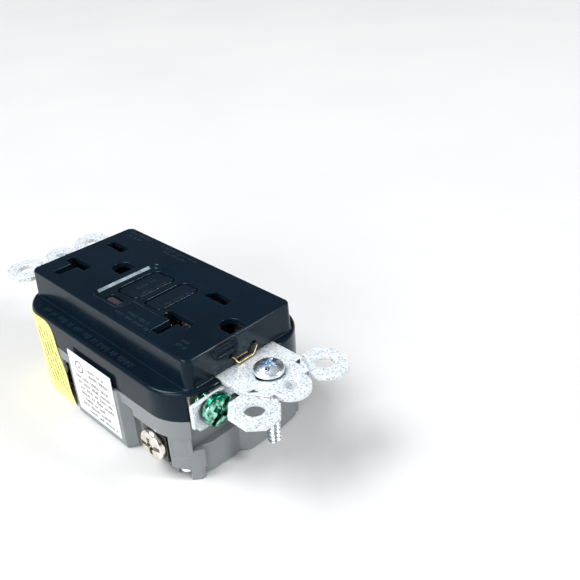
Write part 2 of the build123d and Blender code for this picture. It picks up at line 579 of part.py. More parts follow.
# ---- device mounting screws, kept in the strap by plastic washers ---------------------------------
MOUNT_HEAD_R = 3.6
MOUNT_HEAD_Z = 1.75        # underside of the head
MOUNT_DOME_R = 4.7
MOUNT_DOME_HEIGHT = 2.1
MOUNT_SHANK_R = 1.74
MOUNT_NECK_R = 1.40        # undercut neck through the strap and the washer
MOUNT_NECK_END_Z = -1.0
MOUNT_TIP_Z = -19.2
for place, side in (("upper", 1), ("lower", -1)):
    y = side * BOX_SCREW_SPACING / 2
    ball = Pos(0, y, MOUNT_HEAD_Z + MOUNT_DOME_HEIGHT - MOUNT_DOME_R) * Sphere(MOUNT_DOME_R)
    dome = ball & post(0, y, MOUNT_HEAD_R, MOUNT_HEAD_Z, MOUNT_HEAD_Z + 3)
    dome -= Pos(0, y, 4.0) * Rot(0, 0, 35) * screw_recess(1.1)
    screw = dome + post(0, y, MOUNT_NECK_R, MOUNT_NECK_END_Z - 0.1, MOUNT_HEAD_Z + 0.1)
    screw += post(0, y, MOUNT_SHANK_R, MOUNT_TIP_Z + 0.6, MOUNT_NECK_END_Z)
    screw += Pos(0, y, MOUNT_TIP_Z + 0.3) * Cone(MOUNT_SHANK_R - 0.6, MOUNT_SHANK_R, 0.6)
    save(f"{place}_mounting_screw", screw)
    washer = post(0, y, 3.6, -0.75, -0.1) - post(0, y, MOUNT_NECK_R + 0.08, -2, 1)
    save(f"{place}_retaining_washer", washer)


# ---- back body: grey moulding --------------------------------------------------------------------
def end_wall_outline():
    """Near end wall as seen from above, from the ground side round to the other corner."""
    return [(-15.5, -27.0), (-15.5, -32.4), (-12.4, -33.5), (-4.0, -33.5), (-2.2, -35.4), (9.1, -35.4),
            (14.6, -34.6), (16.0, -33.0), (16.0, -27.0)]


def make_back_body():
    band = rounded_prism(BODY_WIDTH, BODY_LENGTH, BODY_CORNER, BAND_BOTTOM, SKIRT_BOTTOM - 0.05)
    band_ends = rounded_prism(BODY_WIDTH, BODY_LENGTH, BODY_CORNER, BAND_BOTTOM_ENDS, BAND_BOTTOM)
    band += band_ends - block(-30, 30, -BAND_STEP_Y, BAND_STEP_Y, -20, 0)
    core = block(-CORE_HALF_WIDTH, CORE_HALF_WIDTH, -CORE_HALF_LENGTH, CORE_HALF_LENGTH,
                 BODY_BOTTOM, SKIRT_BOTTOM - 0.05)
    near_end = outline_prism(end_wall_outline(), BODY_BOTTOM, SKIRT_BOTTOM - 0.05)
    ends = near_end + Rot(0, 0, 180) * near_end
    # block between the terminals, with a slanted face towards each of them
    half_outline = [(17, BLOCK_TAPER_END), (20, BLOCK_TAPER_END), (BLOCK_HALF_WIDTH, BLOCK_HALF_LENGTH)]
    near_half = [(x, -y) for x, y in half_outline]
    label_block = outline_prism(half_outline + near_half[::-1], BODY_BOTTOM, SKIRT_BOTTOM - 0.05)
    # round-cornered posts hold the assembly screws, with a foot beside each
    corner_post = rounded_prism(BODY_WIDTH - 0.4, BODY_LENGTH - 0.4, BODY_CORNER - 0.2,
                                POST_BOTTOM, BAND_BOTTOM)
    corner_post = corner_post & block(15.0, 30, CORE_HALF_LENGTH - 0.1, 34, -30, 0)
    foot = block(15.4, 18.9, 32.0, 33.6, FOOT_BOTTOM, -16.5)
    foot = foot & rounded_prism(BODY_WIDTH - 0.2, BODY_LENGTH - 0.2, BODY_CORNER - 0.1, -30, 0)
    ledge = block(17, LEDGE_HALF_WIDTH, BLOCK_TAPER_END - 0.1, CORE_HALF_LENGTH, BODY_BOTTOM, LEDGE_TOP)
    body = band + core + ends + both_sides(label_block) + four_corners(corner_post + foot + ledge)

    # hollow inside, one open box up to the middle housing
    inner_x = CORE_HALF_WIDTH - BODY_WALL
    body -= block(-inner_x, inner_x, -CORE_HALF_LENGTH + 0.4, CORE_HALF_LENGTH - 0.4,
                  BODY_BOTTOM + BODY_WALL, 0)
    body -= block(-15.0, 15.0, -CORE_HALF_LENGTH - 2.4, CORE_HALF_LENGTH + 2.4, BODY_BOTTOM + BODY_WALL, 0)
    body -= rounded_prism(BODY_WIDTH - 2 * SKIRT_WALL, BODY_LENGTH - 2 * SKIRT_WALL,
                          BODY_CORNER - SKIRT_WALL, -8.6, 0)
    # side windows of the terminals, and the wire notches below them
    for y in (-TERMINAL_Y, TERMINAL_Y):
        body -= block(-CORE_HALF_WIDTH - 1, CORE_HALF_WIDTH + 1, y - 4.4, y + 4.4, LEDGE_TOP, WINDOW_TOP)
    for offset in (-WIRE_HOLE_OFFSET, WIRE_HOLE_OFFSET):
        body -= four_corners(post(WIRE_HOLE_X, TERMINAL_Y + offset, WIRE_HOLE_R, -30, LEDGE_TOP + 1))
    # ground terminal pocket at the near end
    body -= block(-17.5, -4.0, -40, -31.6, -16.1, 0)
    body -= four_corners(post(ASSEMBLY_SCREW_X, ASSEMBLY_SCREW_Y, 1.0, -30, 0))
    # tongue that fills the gap under the strap at each end
    tongue = block(-2.4, 9.1, -35.4, -34.2, SKIRT_BOTTOM - 1.5, -0.1)
    body += tongue + Rot(0, 0, 180) * tongue + block(-9.1, -2.2, 34.2, 35.4, SKIRT_BOTTOM - 1.5, -0.1)
    # shallow sunk panel round the corner of each post
    skin = rounded_prism(BODY_WIDTH, BODY_LENGTH, BODY_CORNER, -18.0, -12.8)
    skin -= rounded_prism(BODY_WIDTH - 0.7, BODY_LENGTH - 0.7, BODY_CORNER - 0.35, -19, -12)
    body -= skin & four_corners(block(18.1, 30, 28.6, 32.2, -18.0, -12.8))
    # board supports
    body += four_corners(post(12.5, 25.0, 1.5, BODY_BOTTOM + 1, BOARD_TOP - BOARD_THICK))
    return body


save("back_body", make_back_body())

ASSEMBLY_HEAD_Z = -23.0
assembly_screw = post(ASSEMBLY_SCREW_X, ASSEMBLY_SCREW_Y, 1.7, ASSEMBLY_HEAD_Z, POST_BOTTOM)
cross = Box(2.4, 0.5, 1.2) + Box(0.5, 2.4, 1.2)
assembly_screw -= Pos(ASSEMBLY_SCREW_X, ASSEMBLY_SCREW_Y, ASSEMBLY_HEAD_Z) * cross
assembly_screw += post(ASSEMBLY_SCREW_X, ASSEMBLY_SCREW_Y, ASSEMBLY_SHANK_R, -21.7, -1.0)
screw_pair = [assembly_screw, mirror(assembly_screw, about=Plane.XZ)]
screw_set = screw_pair + [mirror(screw, about=Plane.YZ) for screw in screw_pair]
save("assembly_screws", Compound(children=[Part(screw.wrapped) for screw in screw_set]))

# ---- rating label and warning tape -------------------------------------------------------------------
LABEL_HALF_WIDTH = 9.65
label = block(-BLOCK_HALF_WIDTH - 0.2, -BLOCK_HALF_WIDTH, -LABEL_HALF_WIDTH, LABEL_HALF_WIDTH, -22.6, -3.5)
save("rating_label", label)


def make_warning_tape():
    """Thin tape over the load terminals of the neutral side, wrapped round the corner."""
    stand_off = 0.05
    reach = stand_off + 0.14
    outer = rounded_prism(BODY_WIDTH + 2 * reach, BODY_LENGTH + 2 * reach, BODY_CORNER + reach,
                          FOOT_BOTTOM + 0.2, 0.2)
    inner = rounded_prism(BODY_WIDTH + 2 * stand_off, BODY_LENGTH + 2 * stand_off, BODY_CORNER + stand_off,
                          FOOT_BOTTOM - 1, 2)
    wrap = outer - inner
    side_edge = [(60, 1), (18.3, 1), (14.3, -22.4), (15.0, FOOT_BOTTOM), (60, FOOT_BOTTOM)]
    region = extrude(Plane.YZ * make_face(Polyline(*side_edge, close=True)), amount=40, both=True)
    return wrap & region & block(-40, -12.0, 0, 60, -40, 5)


save("warning_tape", make_warning_tape())

# ---- circuit board and what it carries -------------------------------------------------------------
board = block(-14.6, 14.6, -28.6, 28.6, BOARD_TOP - BOARD_THICK, BOARD_TOP)
for pin_side in (-1, 1):
    pin_x = COIL_X + pin_side * LINE_PIN_DX
    board -= post(pin_x, COIL_Y + pin_side * LINE_PIN_DY, LINE_PIN_R + 0.02, -30, 0)
save("circuit_board", board)

# tube with a base flange and a mid flange, one current transformer on each
TUBE_R = 3.0
MID_FLANGE_TOP = -15.3
coil_holder = post(COIL_X, COIL_Y, TUBE_R, BOARD_TOP, -10.4)
coil_holder += post(COIL_X, COIL_Y, 6.6, BOARD_TOP, BOARD_TOP + 0.5)
coil_holder += post(COIL_X, COIL_Y, 5.0, MID_FLANGE_TOP - 0.4, MID_FLANGE_TOP)
coil_holder -= post(COIL_X, COIL_Y, TUBE_R - 0.5, -30, 0)
save("coil_holder", coil_holder)
for name, low in (("sense_coil", BOARD_TOP + 0.6), ("ground_neutral_coil", MID_FLANGE_TOP + 0.1)):
    ring_high = low + 4.0
    coil = post(COIL_X, COIL_Y, 6.4, low, ring_high)
    coil -= post(COIL_X, COIL_Y, TUBE_R + 0.1, low - 1, ring_high + 1)
    save(name, fillet(coil.edges().filter_by(GeomType.CIRCLE), 0.8))

bobbin_near = 1.0
bobbin_far = 16.6
BOBBIN_TUBE_R = 2.8
BOBBIN_BORE_R = 2.1
BOBBIN_FLANGE_R = 4.7
bobbin = rod_y(SOLENOID_X, SOLENOID_Z, BOBBIN_TUBE_R, bobbin_near, bobbin_far)
bobbin += rod_y(SOLENOID_X, SOLENOID_Z, BOBBIN_FLANGE_R, bobbin_near, bobbin_near + 1)
bobbin += rod_y(SOLENOID_X, SOLENOID_Z, BOBBIN_FLANGE_R, bobbin_far - 1, bobbin_far)
bobbin -= rod_y(SOLENOID_X, SOLENOID_Z, BOBBIN_BORE_R, -5, 20)
save("solenoid_bobbin", bobbin)
winding = rod_y(SOLENOID_X, SOLENOID_Z, BOBBIN_FLANGE_R - 0.2, bobbin_near + 1.05, bobbin_far - 1.05)
winding -= rod_y(SOLENOID_X, SOLENOID_Z, BOBBIN_TUBE_R + 0.05, -5, 20)
save("solenoid_winding", winding)
yoke_base = BOARD_TOP + 0.05
yoke_x = (SOLENOID_X - 5, SOLENOID_X + 5)
yoke = block(*yoke_x, bobbin_near - 0.9, bobbin_far + 0.9, yoke_base, yoke_base + 0.6)
for wall_low in (bobbin_near - 0.9, bobbin_far + 0.1):
    yoke += block(*yoke_x, wall_low, wall_low + 0.8, yoke_base, -10.3)
yoke -= rod_y(SOLENOID_X, SOLENOID_Z, BOBBIN_BORE_R, -5, bobbin_far)
save("solenoid_yoke", yoke)

# plunger: body in the bobbin, thin neck through the latch plate, and the head that pulls it
plunger = rod_y(SOLENOID_X, SOLENOID_Z, 1.75, -1.4, 12.4)
plunger += rod_y(SOLENOID_X, SOLENOID_Z, 0.8, -3.3, -1.3)
plunger += rod_y(SOLENOID_X, SOLENOID_Z, 1.7, -4.0, -3.2)
save("solenoid_plunger", plunger)
plunger_spring = Pos(SOLENOID_X, 0, SOLENOID_Z) * Rot(-90, 0, 0) * coil_spring(1.3, 0.35, 12.5, 16.5, 4)
save("plunger_spring", plunger_spring)

varistor = rod_y(8.8, BOARD_TOP + 4.7, 4.0, -26.6, -23.4)
varistor += block(6.8, 10.8, -25.6, -24.4, BOARD_TOP, BOARD_TOP + 2)
save("varistor", varistor)
capacitor = block(5.5, 13.5, -21.6, -16.2, BOARD_TOP, BOARD_TOP + 7.5)
save("filter_capacitor", fillet(capacitor.edges().filter_by(Axis.Z), 0.6))
thyristor = block(8.0, 12.2, 19.2, 22.4, BOARD_TOP, BOARD_TOP + 4.6)
save("trip_thyristor", fillet(thyristor.edges().filter_by(Axis.Z), 0.5))
chip = block(-10.5, -5.5, 18.6, 24.6, BOARD_TOP + 0.2, BOARD_TOP + 1.8)
for lead in range(4):
    lead_y = 19.4 + 1.45 * lead
    chip += block(-11.3, -4.7, lead_y, lead_y + 0.45, BOARD_TOP, BOARD_TOP + 0.5)
save("controller_chip", chip)


# ---- reset mechanism ------------------------------------------------------------------------------
def button_cap(y, length, underside):
    """Button cap whose top tilts down towards its far edge."""
    cap = button_window(y, length, 0) & block(-30, 30, -40, 40, underside, FACE_TOP + 1)
    drop_rate = PANEL_DEPTH / (PANEL_FAR_Y - PANEL_NEAR_Y)
    near_y = y - length / 2
    far_y = y + length / 2
    near_drop = drop_rate * (near_y - PANEL_NEAR_Y) - 0.05
    far_drop = drop_rate * (far_y - PANEL_NEAR_Y) + 0.3
    slope = (far_drop - near_drop) / length
    cutter = ramp_cutter(far_drop + slope, near_drop - slope, far_y + 1, near_y - 1)
    cap -= cutter
    # retaining lip that stops the button under the face
    lip = rounded_prism(BUTTON_WIDTH + 1.6, length + 1.1, 1.6, underside - 0.9, underside, BUTTON_X, y)
    return cap + lip


CAP_UNDERSIDE = 5.2
reset_cap = button_cap(RESET_BUTTON_Y, RESET_BUTTON_LENGTH, CAP_UNDERSIDE)
reset_cap -= post(BUTTON_X, RESET_BUTTON_Y, 1.0, 0, CAP_UNDERSIDE + 1.5)
save("reset_button", reset_cap)

LATCH_TOP = -15.0
LATCH_THICK = 0.6
rod = post(BUTTON_X, RESET_BUTTON_Y, 0.98, -16.8, CAP_UNDERSIDE + 1.5)
rod += post(BUTTON_X, RESET_BUTTON_Y, 1.6, -17.0, LATCH_TOP - LATCH_THICK - 0.15)
save("reset_rod", rod)
spring_seat = FLOOR_TOP + 0.05
save("reset_spring", coil_spring(2.5, 0.5, spring_seat, CAP_UNDERSIDE - 0.95, 6, BUTTON_X, RESET_BUTTON_Y))

CARRIER_TOP = -10.95
CARRIER_SPRING_X = (-4.6, 3.9)
POCKET_FLOOR = -14.0
carrier = block(-9.6, 9.6, -12.0, -4.7, -17.6, CARRIER_TOP)
# wings under the moving contacts, rod way, latch slot and the two spring pockets
carrier -= both_sides(block(6.0, 10.5, -12.5, -4.0, -20, -12.4))
carrier -= post(BUTTON_X, RESET_BUTTON_Y, 1.9, -20, 0)
carrier -= block(BUTTON_X - 3.3, BUTTON_X + 3.3, -13, -4, LATCH_TOP - LATCH_THICK - 0.2, LATCH_TOP + 0.2)
for pocket_x in CARRIER_SPRING_X:
    carrier -= post(pocket_x, RESET_BUTTON_Y, 1.7, POCKET_FLOOR, 0)
save("contact_carrier", carrier)
carrier_springs = []
for spring_x in CARRIER_SPRING_X:
    spring = coil_spring(1.25, 0.4, POCKET_FLOOR + 0.05, FLOOR_UNDER - 0.05, 4, spring_x, RESET_BUTTON_Y)
    carrier_springs.append(Part(spring.wrapped))
save("carrier_springs", Compound(children=carrier_springs))

for pole, side in (("hot", 1), ("neutral", -1)):
    x = side * CONTACT_X
    bridge = block(x - 1.4, x + 1.4, -12.0, -4.3, CARRIER_TOP, CARRIER_TOP + 0.8)
    for y in (CONTACT_RIVET_FACE_Y, CONTACT_RIVET_LINE_Y):
        bridge += post(x, y, 1.1, CARRIER_TOP + 0.7, CONTACT_FACE - 0.05)
    save(f"{pole}_moving_contact", bridge)

# latch plate with an upright tab, slotted so that the plunger's neck and head pass
latch = block(BUTTON_X - 3.0, BUTTON_X + 3.0, -11.9, -2.0, LATCH_TOP - LATCH_THICK, LATCH_TOP)
latch += block(BUTTON_X - 3.0, BUTTON_X + 3.0, -2.6, -2.0, -17.8, -11.6)
latch -= block(BUTTON_X - 1.15, BUTTON_X + 1.15, -3, -1, -18.5, -12.1)
latch -= block(BUTTON_X - 2.1, BUTTON_X + 2.1, -4.7, -2.6, -18.5, -11.0)
# keyhole: the rod's head passes the round part and catches under the narrow one
keyhole_y = RESET_BUTTON_Y - 1.9
latch -= post(BUTTON_X, keyhole_y, 1.8, -20, -10)
latch -= block(BUTTON_X - 1.2, BUTTON_X + 1.2, keyhole_y, RESET_BUTTON_Y + 1.2, -20, -10)
save("latch_plate", latch)

# ---- test button: its stem presses a leaf contact, which is also the return spring ------------------
STEM_BOTTOM = -4.0
test_cap = button_cap(TEST_BUTTON_Y, TEST_BUTTON_LENGTH, CAP_UNDERSIDE)
test_cap += post(BUTTON_X, TEST_BUTTON_Y, 1.5, STEM_BOTTOM, CAP_UNDERSIDE)
save("test_button", test_cap)

leaf_under = FLOOR_TOP + 0.05
leaf_over = FLOOR_TOP + 0.5
leaf_points = [(3.4, leaf_under), (3.4, leaf_over), (2.2, leaf_over), (-2.6, STEM_BOTTOM - 0.05),
               (-2.9, STEM_BOTTOM - 0.4), (2.0, leaf_under)]
leaf_profile = Plane.XZ * make_face(Polyline(*leaf_points, close=True))
save("test_contact_leaf", Pos(0, TEST_BUTTON_Y + 1.2, 0) * extrude(leaf_profile, amount=2.4))
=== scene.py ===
import json
import math
import random

import bmesh
import bpy
from mathutils import Matrix, Vector
from mathutils.geometry import delaunay_2d_cdt


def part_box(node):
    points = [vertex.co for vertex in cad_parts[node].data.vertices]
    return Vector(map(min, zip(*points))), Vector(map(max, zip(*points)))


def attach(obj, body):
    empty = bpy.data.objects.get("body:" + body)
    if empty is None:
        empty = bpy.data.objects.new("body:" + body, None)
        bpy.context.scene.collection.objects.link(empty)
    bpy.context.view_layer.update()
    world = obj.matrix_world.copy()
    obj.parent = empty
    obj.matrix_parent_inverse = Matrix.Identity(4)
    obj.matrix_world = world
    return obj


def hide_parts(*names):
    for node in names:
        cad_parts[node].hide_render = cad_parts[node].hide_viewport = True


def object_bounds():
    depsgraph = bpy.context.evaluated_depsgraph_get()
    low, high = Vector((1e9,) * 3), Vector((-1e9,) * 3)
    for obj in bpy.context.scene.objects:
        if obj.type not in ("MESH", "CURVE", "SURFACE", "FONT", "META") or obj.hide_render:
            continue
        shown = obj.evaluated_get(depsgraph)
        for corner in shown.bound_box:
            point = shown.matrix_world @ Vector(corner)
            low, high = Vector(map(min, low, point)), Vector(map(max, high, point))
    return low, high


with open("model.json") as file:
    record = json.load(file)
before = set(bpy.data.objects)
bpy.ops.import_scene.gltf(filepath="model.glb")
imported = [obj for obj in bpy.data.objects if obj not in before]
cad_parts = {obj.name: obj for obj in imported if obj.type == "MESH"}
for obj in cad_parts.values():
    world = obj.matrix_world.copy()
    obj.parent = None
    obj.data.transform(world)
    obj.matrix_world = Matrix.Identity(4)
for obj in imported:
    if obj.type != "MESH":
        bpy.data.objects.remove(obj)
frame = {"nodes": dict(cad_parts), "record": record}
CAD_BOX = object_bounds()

# The looks of a ground-fault receptacle. Lengths are written in millimetres and stored in
# metres. +Z points out of the face, +Y to the end that is up on the wall, +X to the hot side.
MM = 0.001
NODES = frame["nodes"]
BODIES = frame["record"]["behaviour"]["bodies"]
BODY_OF = {node: body for body, members in BODIES.items() for node in members}
SLOT_OF = {p["node"]: p["material_slot"] for p in frame["record"]["subparts"]}


# ---- materials ---------------------------------------------------------------------------
class Shader:
    """A principled material with its node tree, built a step at a time."""

    def __init__(self, name, roughness, metallic=0.0, **sockets):
        self.material = bpy.data.materials.new(name)
        self.material.use_nodes = True
        self.tree = self.material.node_tree
        self.bsdf = self.tree.nodes["Principled BSDF"]
        self.place = self.node("TexCoord").outputs["Object"]
        self.bsdf.inputs["Roughness"].default_value = roughness
        self.bsdf.inputs["Metallic"].default_value = metallic
        for label, value in sockets.items():
            self.bsdf.inputs[label.replace("_", " ")].default_value = value

    def node(self, kind, **inputs):
        """A shader node whose inputs are linked to sockets or set to values."""
        made = self.tree.nodes.new("ShaderNode" + kind)
        for label, value in inputs.items():
            socket = made.inputs[label.replace("_", " ")]
            if hasattr(value, "is_linked"):
                self.tree.links.new(value, socket)
            else:
                socket.default_value = value
        return made

    def noise(self, size_mm, detail=3.0, rough=0.5, stretch=None):
        """Noise whose blobs are about size_mm across, from 0 to 1."""
        place = self.place
        if stretch:
            place = self.node("Mapping", Vector=self.place, Scale=stretch).outputs[0]
        scale = 1.0 / (size_mm * MM)
        made = self.node("TexNoise", Vector=place, Scale=scale, Detail=detail, Roughness=rough)
        return made.outputs["Fac"]

    def cells(self, size_mm, feature="F1"):
        """Irregular cells about size_mm across."""
        made = self.node("TexVoronoi", Vector=self.place, Scale=1.0 / (size_mm * MM))
        made.feature = feature
        return made

    def spread(self, value, low, high, to_low, to_high):
        """A value's range from low to high, stretched to another range and held at its ends."""
        made = self.node("MapRange", Value=value)
        made.inputs["From Min"].default_value = low
        made.inputs["From Max"].default_value = high
        made.inputs["To Min"].default_value = to_low
        made.inputs["To Max"].default_value = to_high
        return made.outputs[0]

    def painted_hollow_shade(self, shade_reach_mm, low, high):
        """Mask for painted shade: 1 deep in recesses and between threads, 0 out in the open."""
        made = self.node("AmbientOcclusion", Distance=shade_reach_mm * MM)
        made.samples = 6
        return self.spread(made.outputs["AO"], low, high, 1.0, 0.0)

    def mix(self, factor, first, second):
        """The first colour where the factor is 0, the second where it is 1."""
        made = self.tree.nodes.new("ShaderNodeMix")
        made.data_type = "RGBA"
        for index, value in ((0, factor), (6, first), (7, second)):
            if hasattr(value, "is_linked"):
                self.tree.links.new(value, made.inputs[index])
            else:
                made.inputs[index].default_value = value
        return made.outputs[2]

    def colour(self, socket):
        self.tree.links.new(socket, self.bsdf.inputs["Base Color"])
        return self

    def roughness(self, socket):
        self.tree.links.new(socket, self.bsdf.inputs["Roughness"])
        return self

    def bump(self, height, strength, depth_mm):
        """Relief from a height that runs from 0 to 1 over depth_mm."""
        made = self.node("Bump", Height=height, Strength=strength, Distance=depth_mm * MM)
        self.tree.links.new(made.outputs[0], self.bsdf.inputs["Normal"])
        return self


def rgba(colour, gain=1.0):
    """A colour made lighter or darker, with its alpha."""
    return tuple(c * gain for c in colour) + (1.0,)


def clouded(shader, value, low, high, colour, darkest, lightest):
    """A colour that drifts between two gains of itself over a value's range."""
    share = shader.spread(value, low, high, 0.0, 1.0)
    return shader.mix(share, rgba(colour, darkest), rgba(colour, lightest))


def plastic(name, colour, roughness, vary=0.1, grain_mm=0.5, depth=0.006, gloss_spread=0.08, **sockets):
    """Moulded plastic: faint flow marks, fine texture and handling marks in the gloss."""
    s = Shader(name, roughness, **sockets)
    flow = s.noise(14.0, 4.0)
    fine = s.noise(grain_mm, 2.0)
    s.colour(clouded(s, flow, 0.35, 0.65, colour, 1 - vary, 1 + vary))
    scuffs = s.noise(2.2, 6.0, 0.7, stretch=(1.0, 0.35, 1.0))
    s.roughness(s.spread(scuffs, 0.35, 0.75, roughness - gloss_spread / 2, roughness + gloss_spread))
    return s.bump(fine, 0.35, depth).material


def metal(name, colour, roughness, tint=None, tint_share=0.5, brushed=None, depth=0.004, vary=0.08,
          recess_shade=None, shade_reach_mm=1.2):
    """Plated or bare metal: tone clouds, a tint in patches, drawing lines, wear, and recesses darkened with
    a painted shade colour.
    """
    s = Shader(name, roughness, 1.0)
    clouds = s.noise(3.0, 4.0, 0.6)
    tone = clouded(s, clouds, 0.35, 0.65, colour, 1 - vary, 1 + vary / 2)
    if tint:
        patches = s.noise(1.6, 2.0)
        tone = s.mix(s.spread(patches, 0.45, 0.62, 0.0, tint_share), tone, rgba(tint))
    # painted shade: a darker colour mixed in wherever the AO node finds hollows
    if recess_shade:
        tone = s.mix(s.painted_hollow_shade(shade_reach_mm, 0.25, 0.80), tone, rgba(recess_shade))
    s.colour(tone)
    wear = s.noise(0.9, 6.0, 0.7)
    s.roughness(s.spread(wear, 0.3, 0.75, roughness * 0.75, roughness * 1.5))
    return s.bump(s.noise(0.35, 3.0, stretch=brushed or (1.0, 1.0, 1.0)), 0.5, depth).material


def galvanised(name):
    """Zinc-coated sheet: small spangle cells, dark specks, a satin bloom, and painted shade in holes and at
    the foot of walls.
    """
    s = Shader(name, 0.42, 0.22)
    cell = s.cells(0.7)
    shade = s.spread(cell.outputs["Color"], 0.0, 1.0, 0.0, 1.0)
    tone = s.mix(shade, (0.63, 0.69, 0.73, 1.0), (0.78, 0.83, 0.86, 1.0))
    specks = s.spread(s.noise(0.50, 3.0, 0.6), 0.52, 0.64, 0.0, 0.85)
    tone = s.mix(specks, tone, (0.26, 0.30, 0.37, 1.0))
    # painted shade: near black mixed in inside holes and along the foot of walls, from the AO node
    s.colour(s.mix(s.painted_hollow_shade(1.8, 0.30, 0.72), tone, (0.04, 0.045, 0.05, 1.0)))
    s.roughness(s.spread(s.noise(0.8, 3.0), 0.3, 0.7, 0.30, 0.55))
    return s.bump(s.noise(0.5, 4.0, 0.6), 0.5, 0.012).material


def paper(name, colour):
    """Printed label stock with a faint fibre grain."""
    s = Shader(name, 0.55, Specular_IOR_Level=0.35)
    s.colour(clouded(s, s.noise(5.0, 5.0), 0.3, 0.7, colour, 0.965, 1.01))
    s.roughness(s.spread(s.noise(0.6, 3.0), 0.3, 0.7, 0.48, 0.62))
    return s.bump(s.noise(0.18, 5.0, 0.7), 0.3, 0.008).material


def film(name, colour):
    """Satin adhesive film, a little uneven."""
    s = Shader(name, 0.36, Coat_Weight=0.15, Coat_Roughness=0.25)
    s.colour(clouded(s, s.noise(6.0, 3.0), 0.3, 0.7, colour, 0.94, 1.02))
    s.roughness(s.spread(s.noise(1.4, 4.0), 0.3, 0.7, 0.30, 0.46))
    return s.bump(s.noise(3.5, 3.0), 0.35, 0.05).material


def laminate(name):
    """Solder-masked board, with darker gaps between its copper areas and bright pads."""
    s = Shader(name, 0.35, Coat_Weight=0.3)
    tracks = s.cells(2.6, "DISTANCE_TO_EDGE").outputs["Distance"]
    tone = s.mix(s.spread(tracks, 0.04, 0.10, 0.0, 1.0), (0.03, 0.16, 0.07, 1.0), (0.05, 0.27, 0.11, 1.0))
    pads = s.cells(1.9).outputs["Distance"]
    s.colour(s.mix(s.spread(pads, 0.10, 0.16, 1.0, 0.0), tone, (0.62, 0.60, 0.56, 1.0)))
    s.roughness(s.spread(s.noise(1.0), 0.3, 0.7, 0.28, 0.42))
    return s.bump(tracks, 0.4, 0.03).material


WIRE_PITCH = 0.28 * MM      # between the turns of the coils


def wound(name, dark, light, axis_index):
    """Fine turns of enamelled wire or tape, laid side by side round an axis, with painted shade darkening
    the grooves between turns.
    """
    s = Shader(name, 0.32, 0.6)
    split = s.node("SeparateXYZ", Vector=s.place).outputs[axis_index]
    phase = s.node("Math", Value=split)
    phase.operation = "MULTIPLY"
    phase.inputs[1].default_value = 2 * math.pi / WIRE_PITCH
    wave = s.node("Math", Value=phase.outputs[0])
    wave.operation = "SINE"
    turns = s.spread(wave.outputs[0], -1.0, 1.0, 0.0, 1.0)
    # painted shade: the colour darkens in the grooves between turns, with the same wave that shapes the
    # relief
    s.colour(s.mix(turns, rgba(dark), rgba(light)))
    s.roughness(s.spread(s.noise(0.7, 4.0), 0.3, 0.7, 0.25, 0.45))
    return s.bump(turns, 0.6, 0.05).material


MATERIALS = {
    "black_plastic": plastic("black_plastic", (0.0030, 0.0088, 0.0165), 0.18, 0.12, 0.45, 0.004, 0.07,
                             Specular_IOR_Level=0.18, Specular_Tint=(0.75, 0.92, 1.0, 1.0)),
    "smoky_acrylic": plastic("smoky_acrylic", (0.048, 0.042, 0.050), 0.16, 0.10, 0.6, 0.003, 0.05),
    "lamp_resin": plastic("lamp_resin", (0.55, 0.06, 0.04), 0.12, 0.1, 0.8, 0.003),
    "galvanised_steel": galvanised("galvanised_steel"),
    # The contacts' recess colour is painted shade, reaching deep into the slots and ground holes.
    "contact_brass": metal("contact_brass", (0.74, 0.55, 0.25), 0.28, (0.50, 0.30, 0.12), 0.5, (1, 0.1, 1),
                           recess_shade=(0.006, 0.005, 0.004), shade_reach_mm=16.0),
    # Clamp brass: the base and patch colours are darkened as painted shade for clamps that sit in shadow,
    # and the recess colour is painted shade too.
    "plated_brass": metal("plated_brass", (0.12, 0.11, 0.09), 0.30, (0.06, 0.05, 0.035), 0.6,
                          recess_shade=(0.02, 0.018, 0.016), shade_reach_mm=4.0),
    "white_nylon": plastic("white_nylon", (0.80, 0.79, 0.73), 0.45, 0.04, 0.7, 0.006),
    "grey_plastic": plastic("grey_plastic", (0.205, 0.226, 0.230), 0.40, 0.05, 0.30, 0.007, 0.10),
    # The blue recess colour is painted shade and reflection in the drives and between the thread turns.
    "plated_screw": metal("plated_screw", (0.90, 0.93, 0.95), 0.27, (0.66, 0.84, 0.96), 0.5,
                          recess_shade=(0.12, 0.40, 0.70), shade_reach_mm=1.3),
    "label_paper": paper("label_paper", (0.80, 0.80, 0.81)),
    "yellow_tape": film("yellow_tape", (0.88, 0.84, 0.24)),
    "board_laminate": laminate("board_laminate"),
    "coil_wrap": wound("coil_wrap", (0.16, 0.05, 0.02), (0.55, 0.23, 0.08), 2),
    "copper_winding": wound("copper_winding", (0.30, 0.10, 0.04), (0.85, 0.42, 0.20), 1),
    "plated_steel": metal("plated_steel", (0.62, 0.64, 0.66), 0.30, (0.66, 0.60, 0.42), 0.35, (1, 0.15, 1)),
    "spring_steel": metal("spring_steel", (0.50, 0.50, 0.52), 0.25, (0.32, 0.30, 0.30), 0.4),
    "blue_epoxy": plastic("blue_epoxy", (0.03, 0.11, 0.42), 0.25, 0.12, 1.4, 0.03, 0.1),
    "yellow_case": plastic("yellow_case", (0.72, 0.50, 0.06), 0.35, 0.08, 0.5, 0.006),
    # The mint patches are painted highlights over the dark green, and the recess colour is painted shade in
    # the drive.
    "green_screw": metal("green_screw", (0.004, 0.14, 0.08), 0.24, (0.46, 0.92, 0.72), 0.85,
                         recess_shade=(0.002, 0.05, 0.03), shade_reach_mm=2.0),
    # For the brass and nickel screws the recess colour is painted shade in the drives and between the
    # thread turns.
    "brass_screw": metal("brass_screw", (0.85, 0.66, 0.32), 0.20, (0.62, 0.42, 0.18), 0.5,
                         recess_shade=(0.12, 0.07, 0.02), shade_reach_mm=1.5),
    "nickel_screw": metal("nickel_screw", (0.90, 0.88, 0.82), 0.17, (0.62, 0.52, 0.40), 0.5,
                          recess_shade=(0.10, 0.085, 0.065), shade_reach_mm=1.5),
}
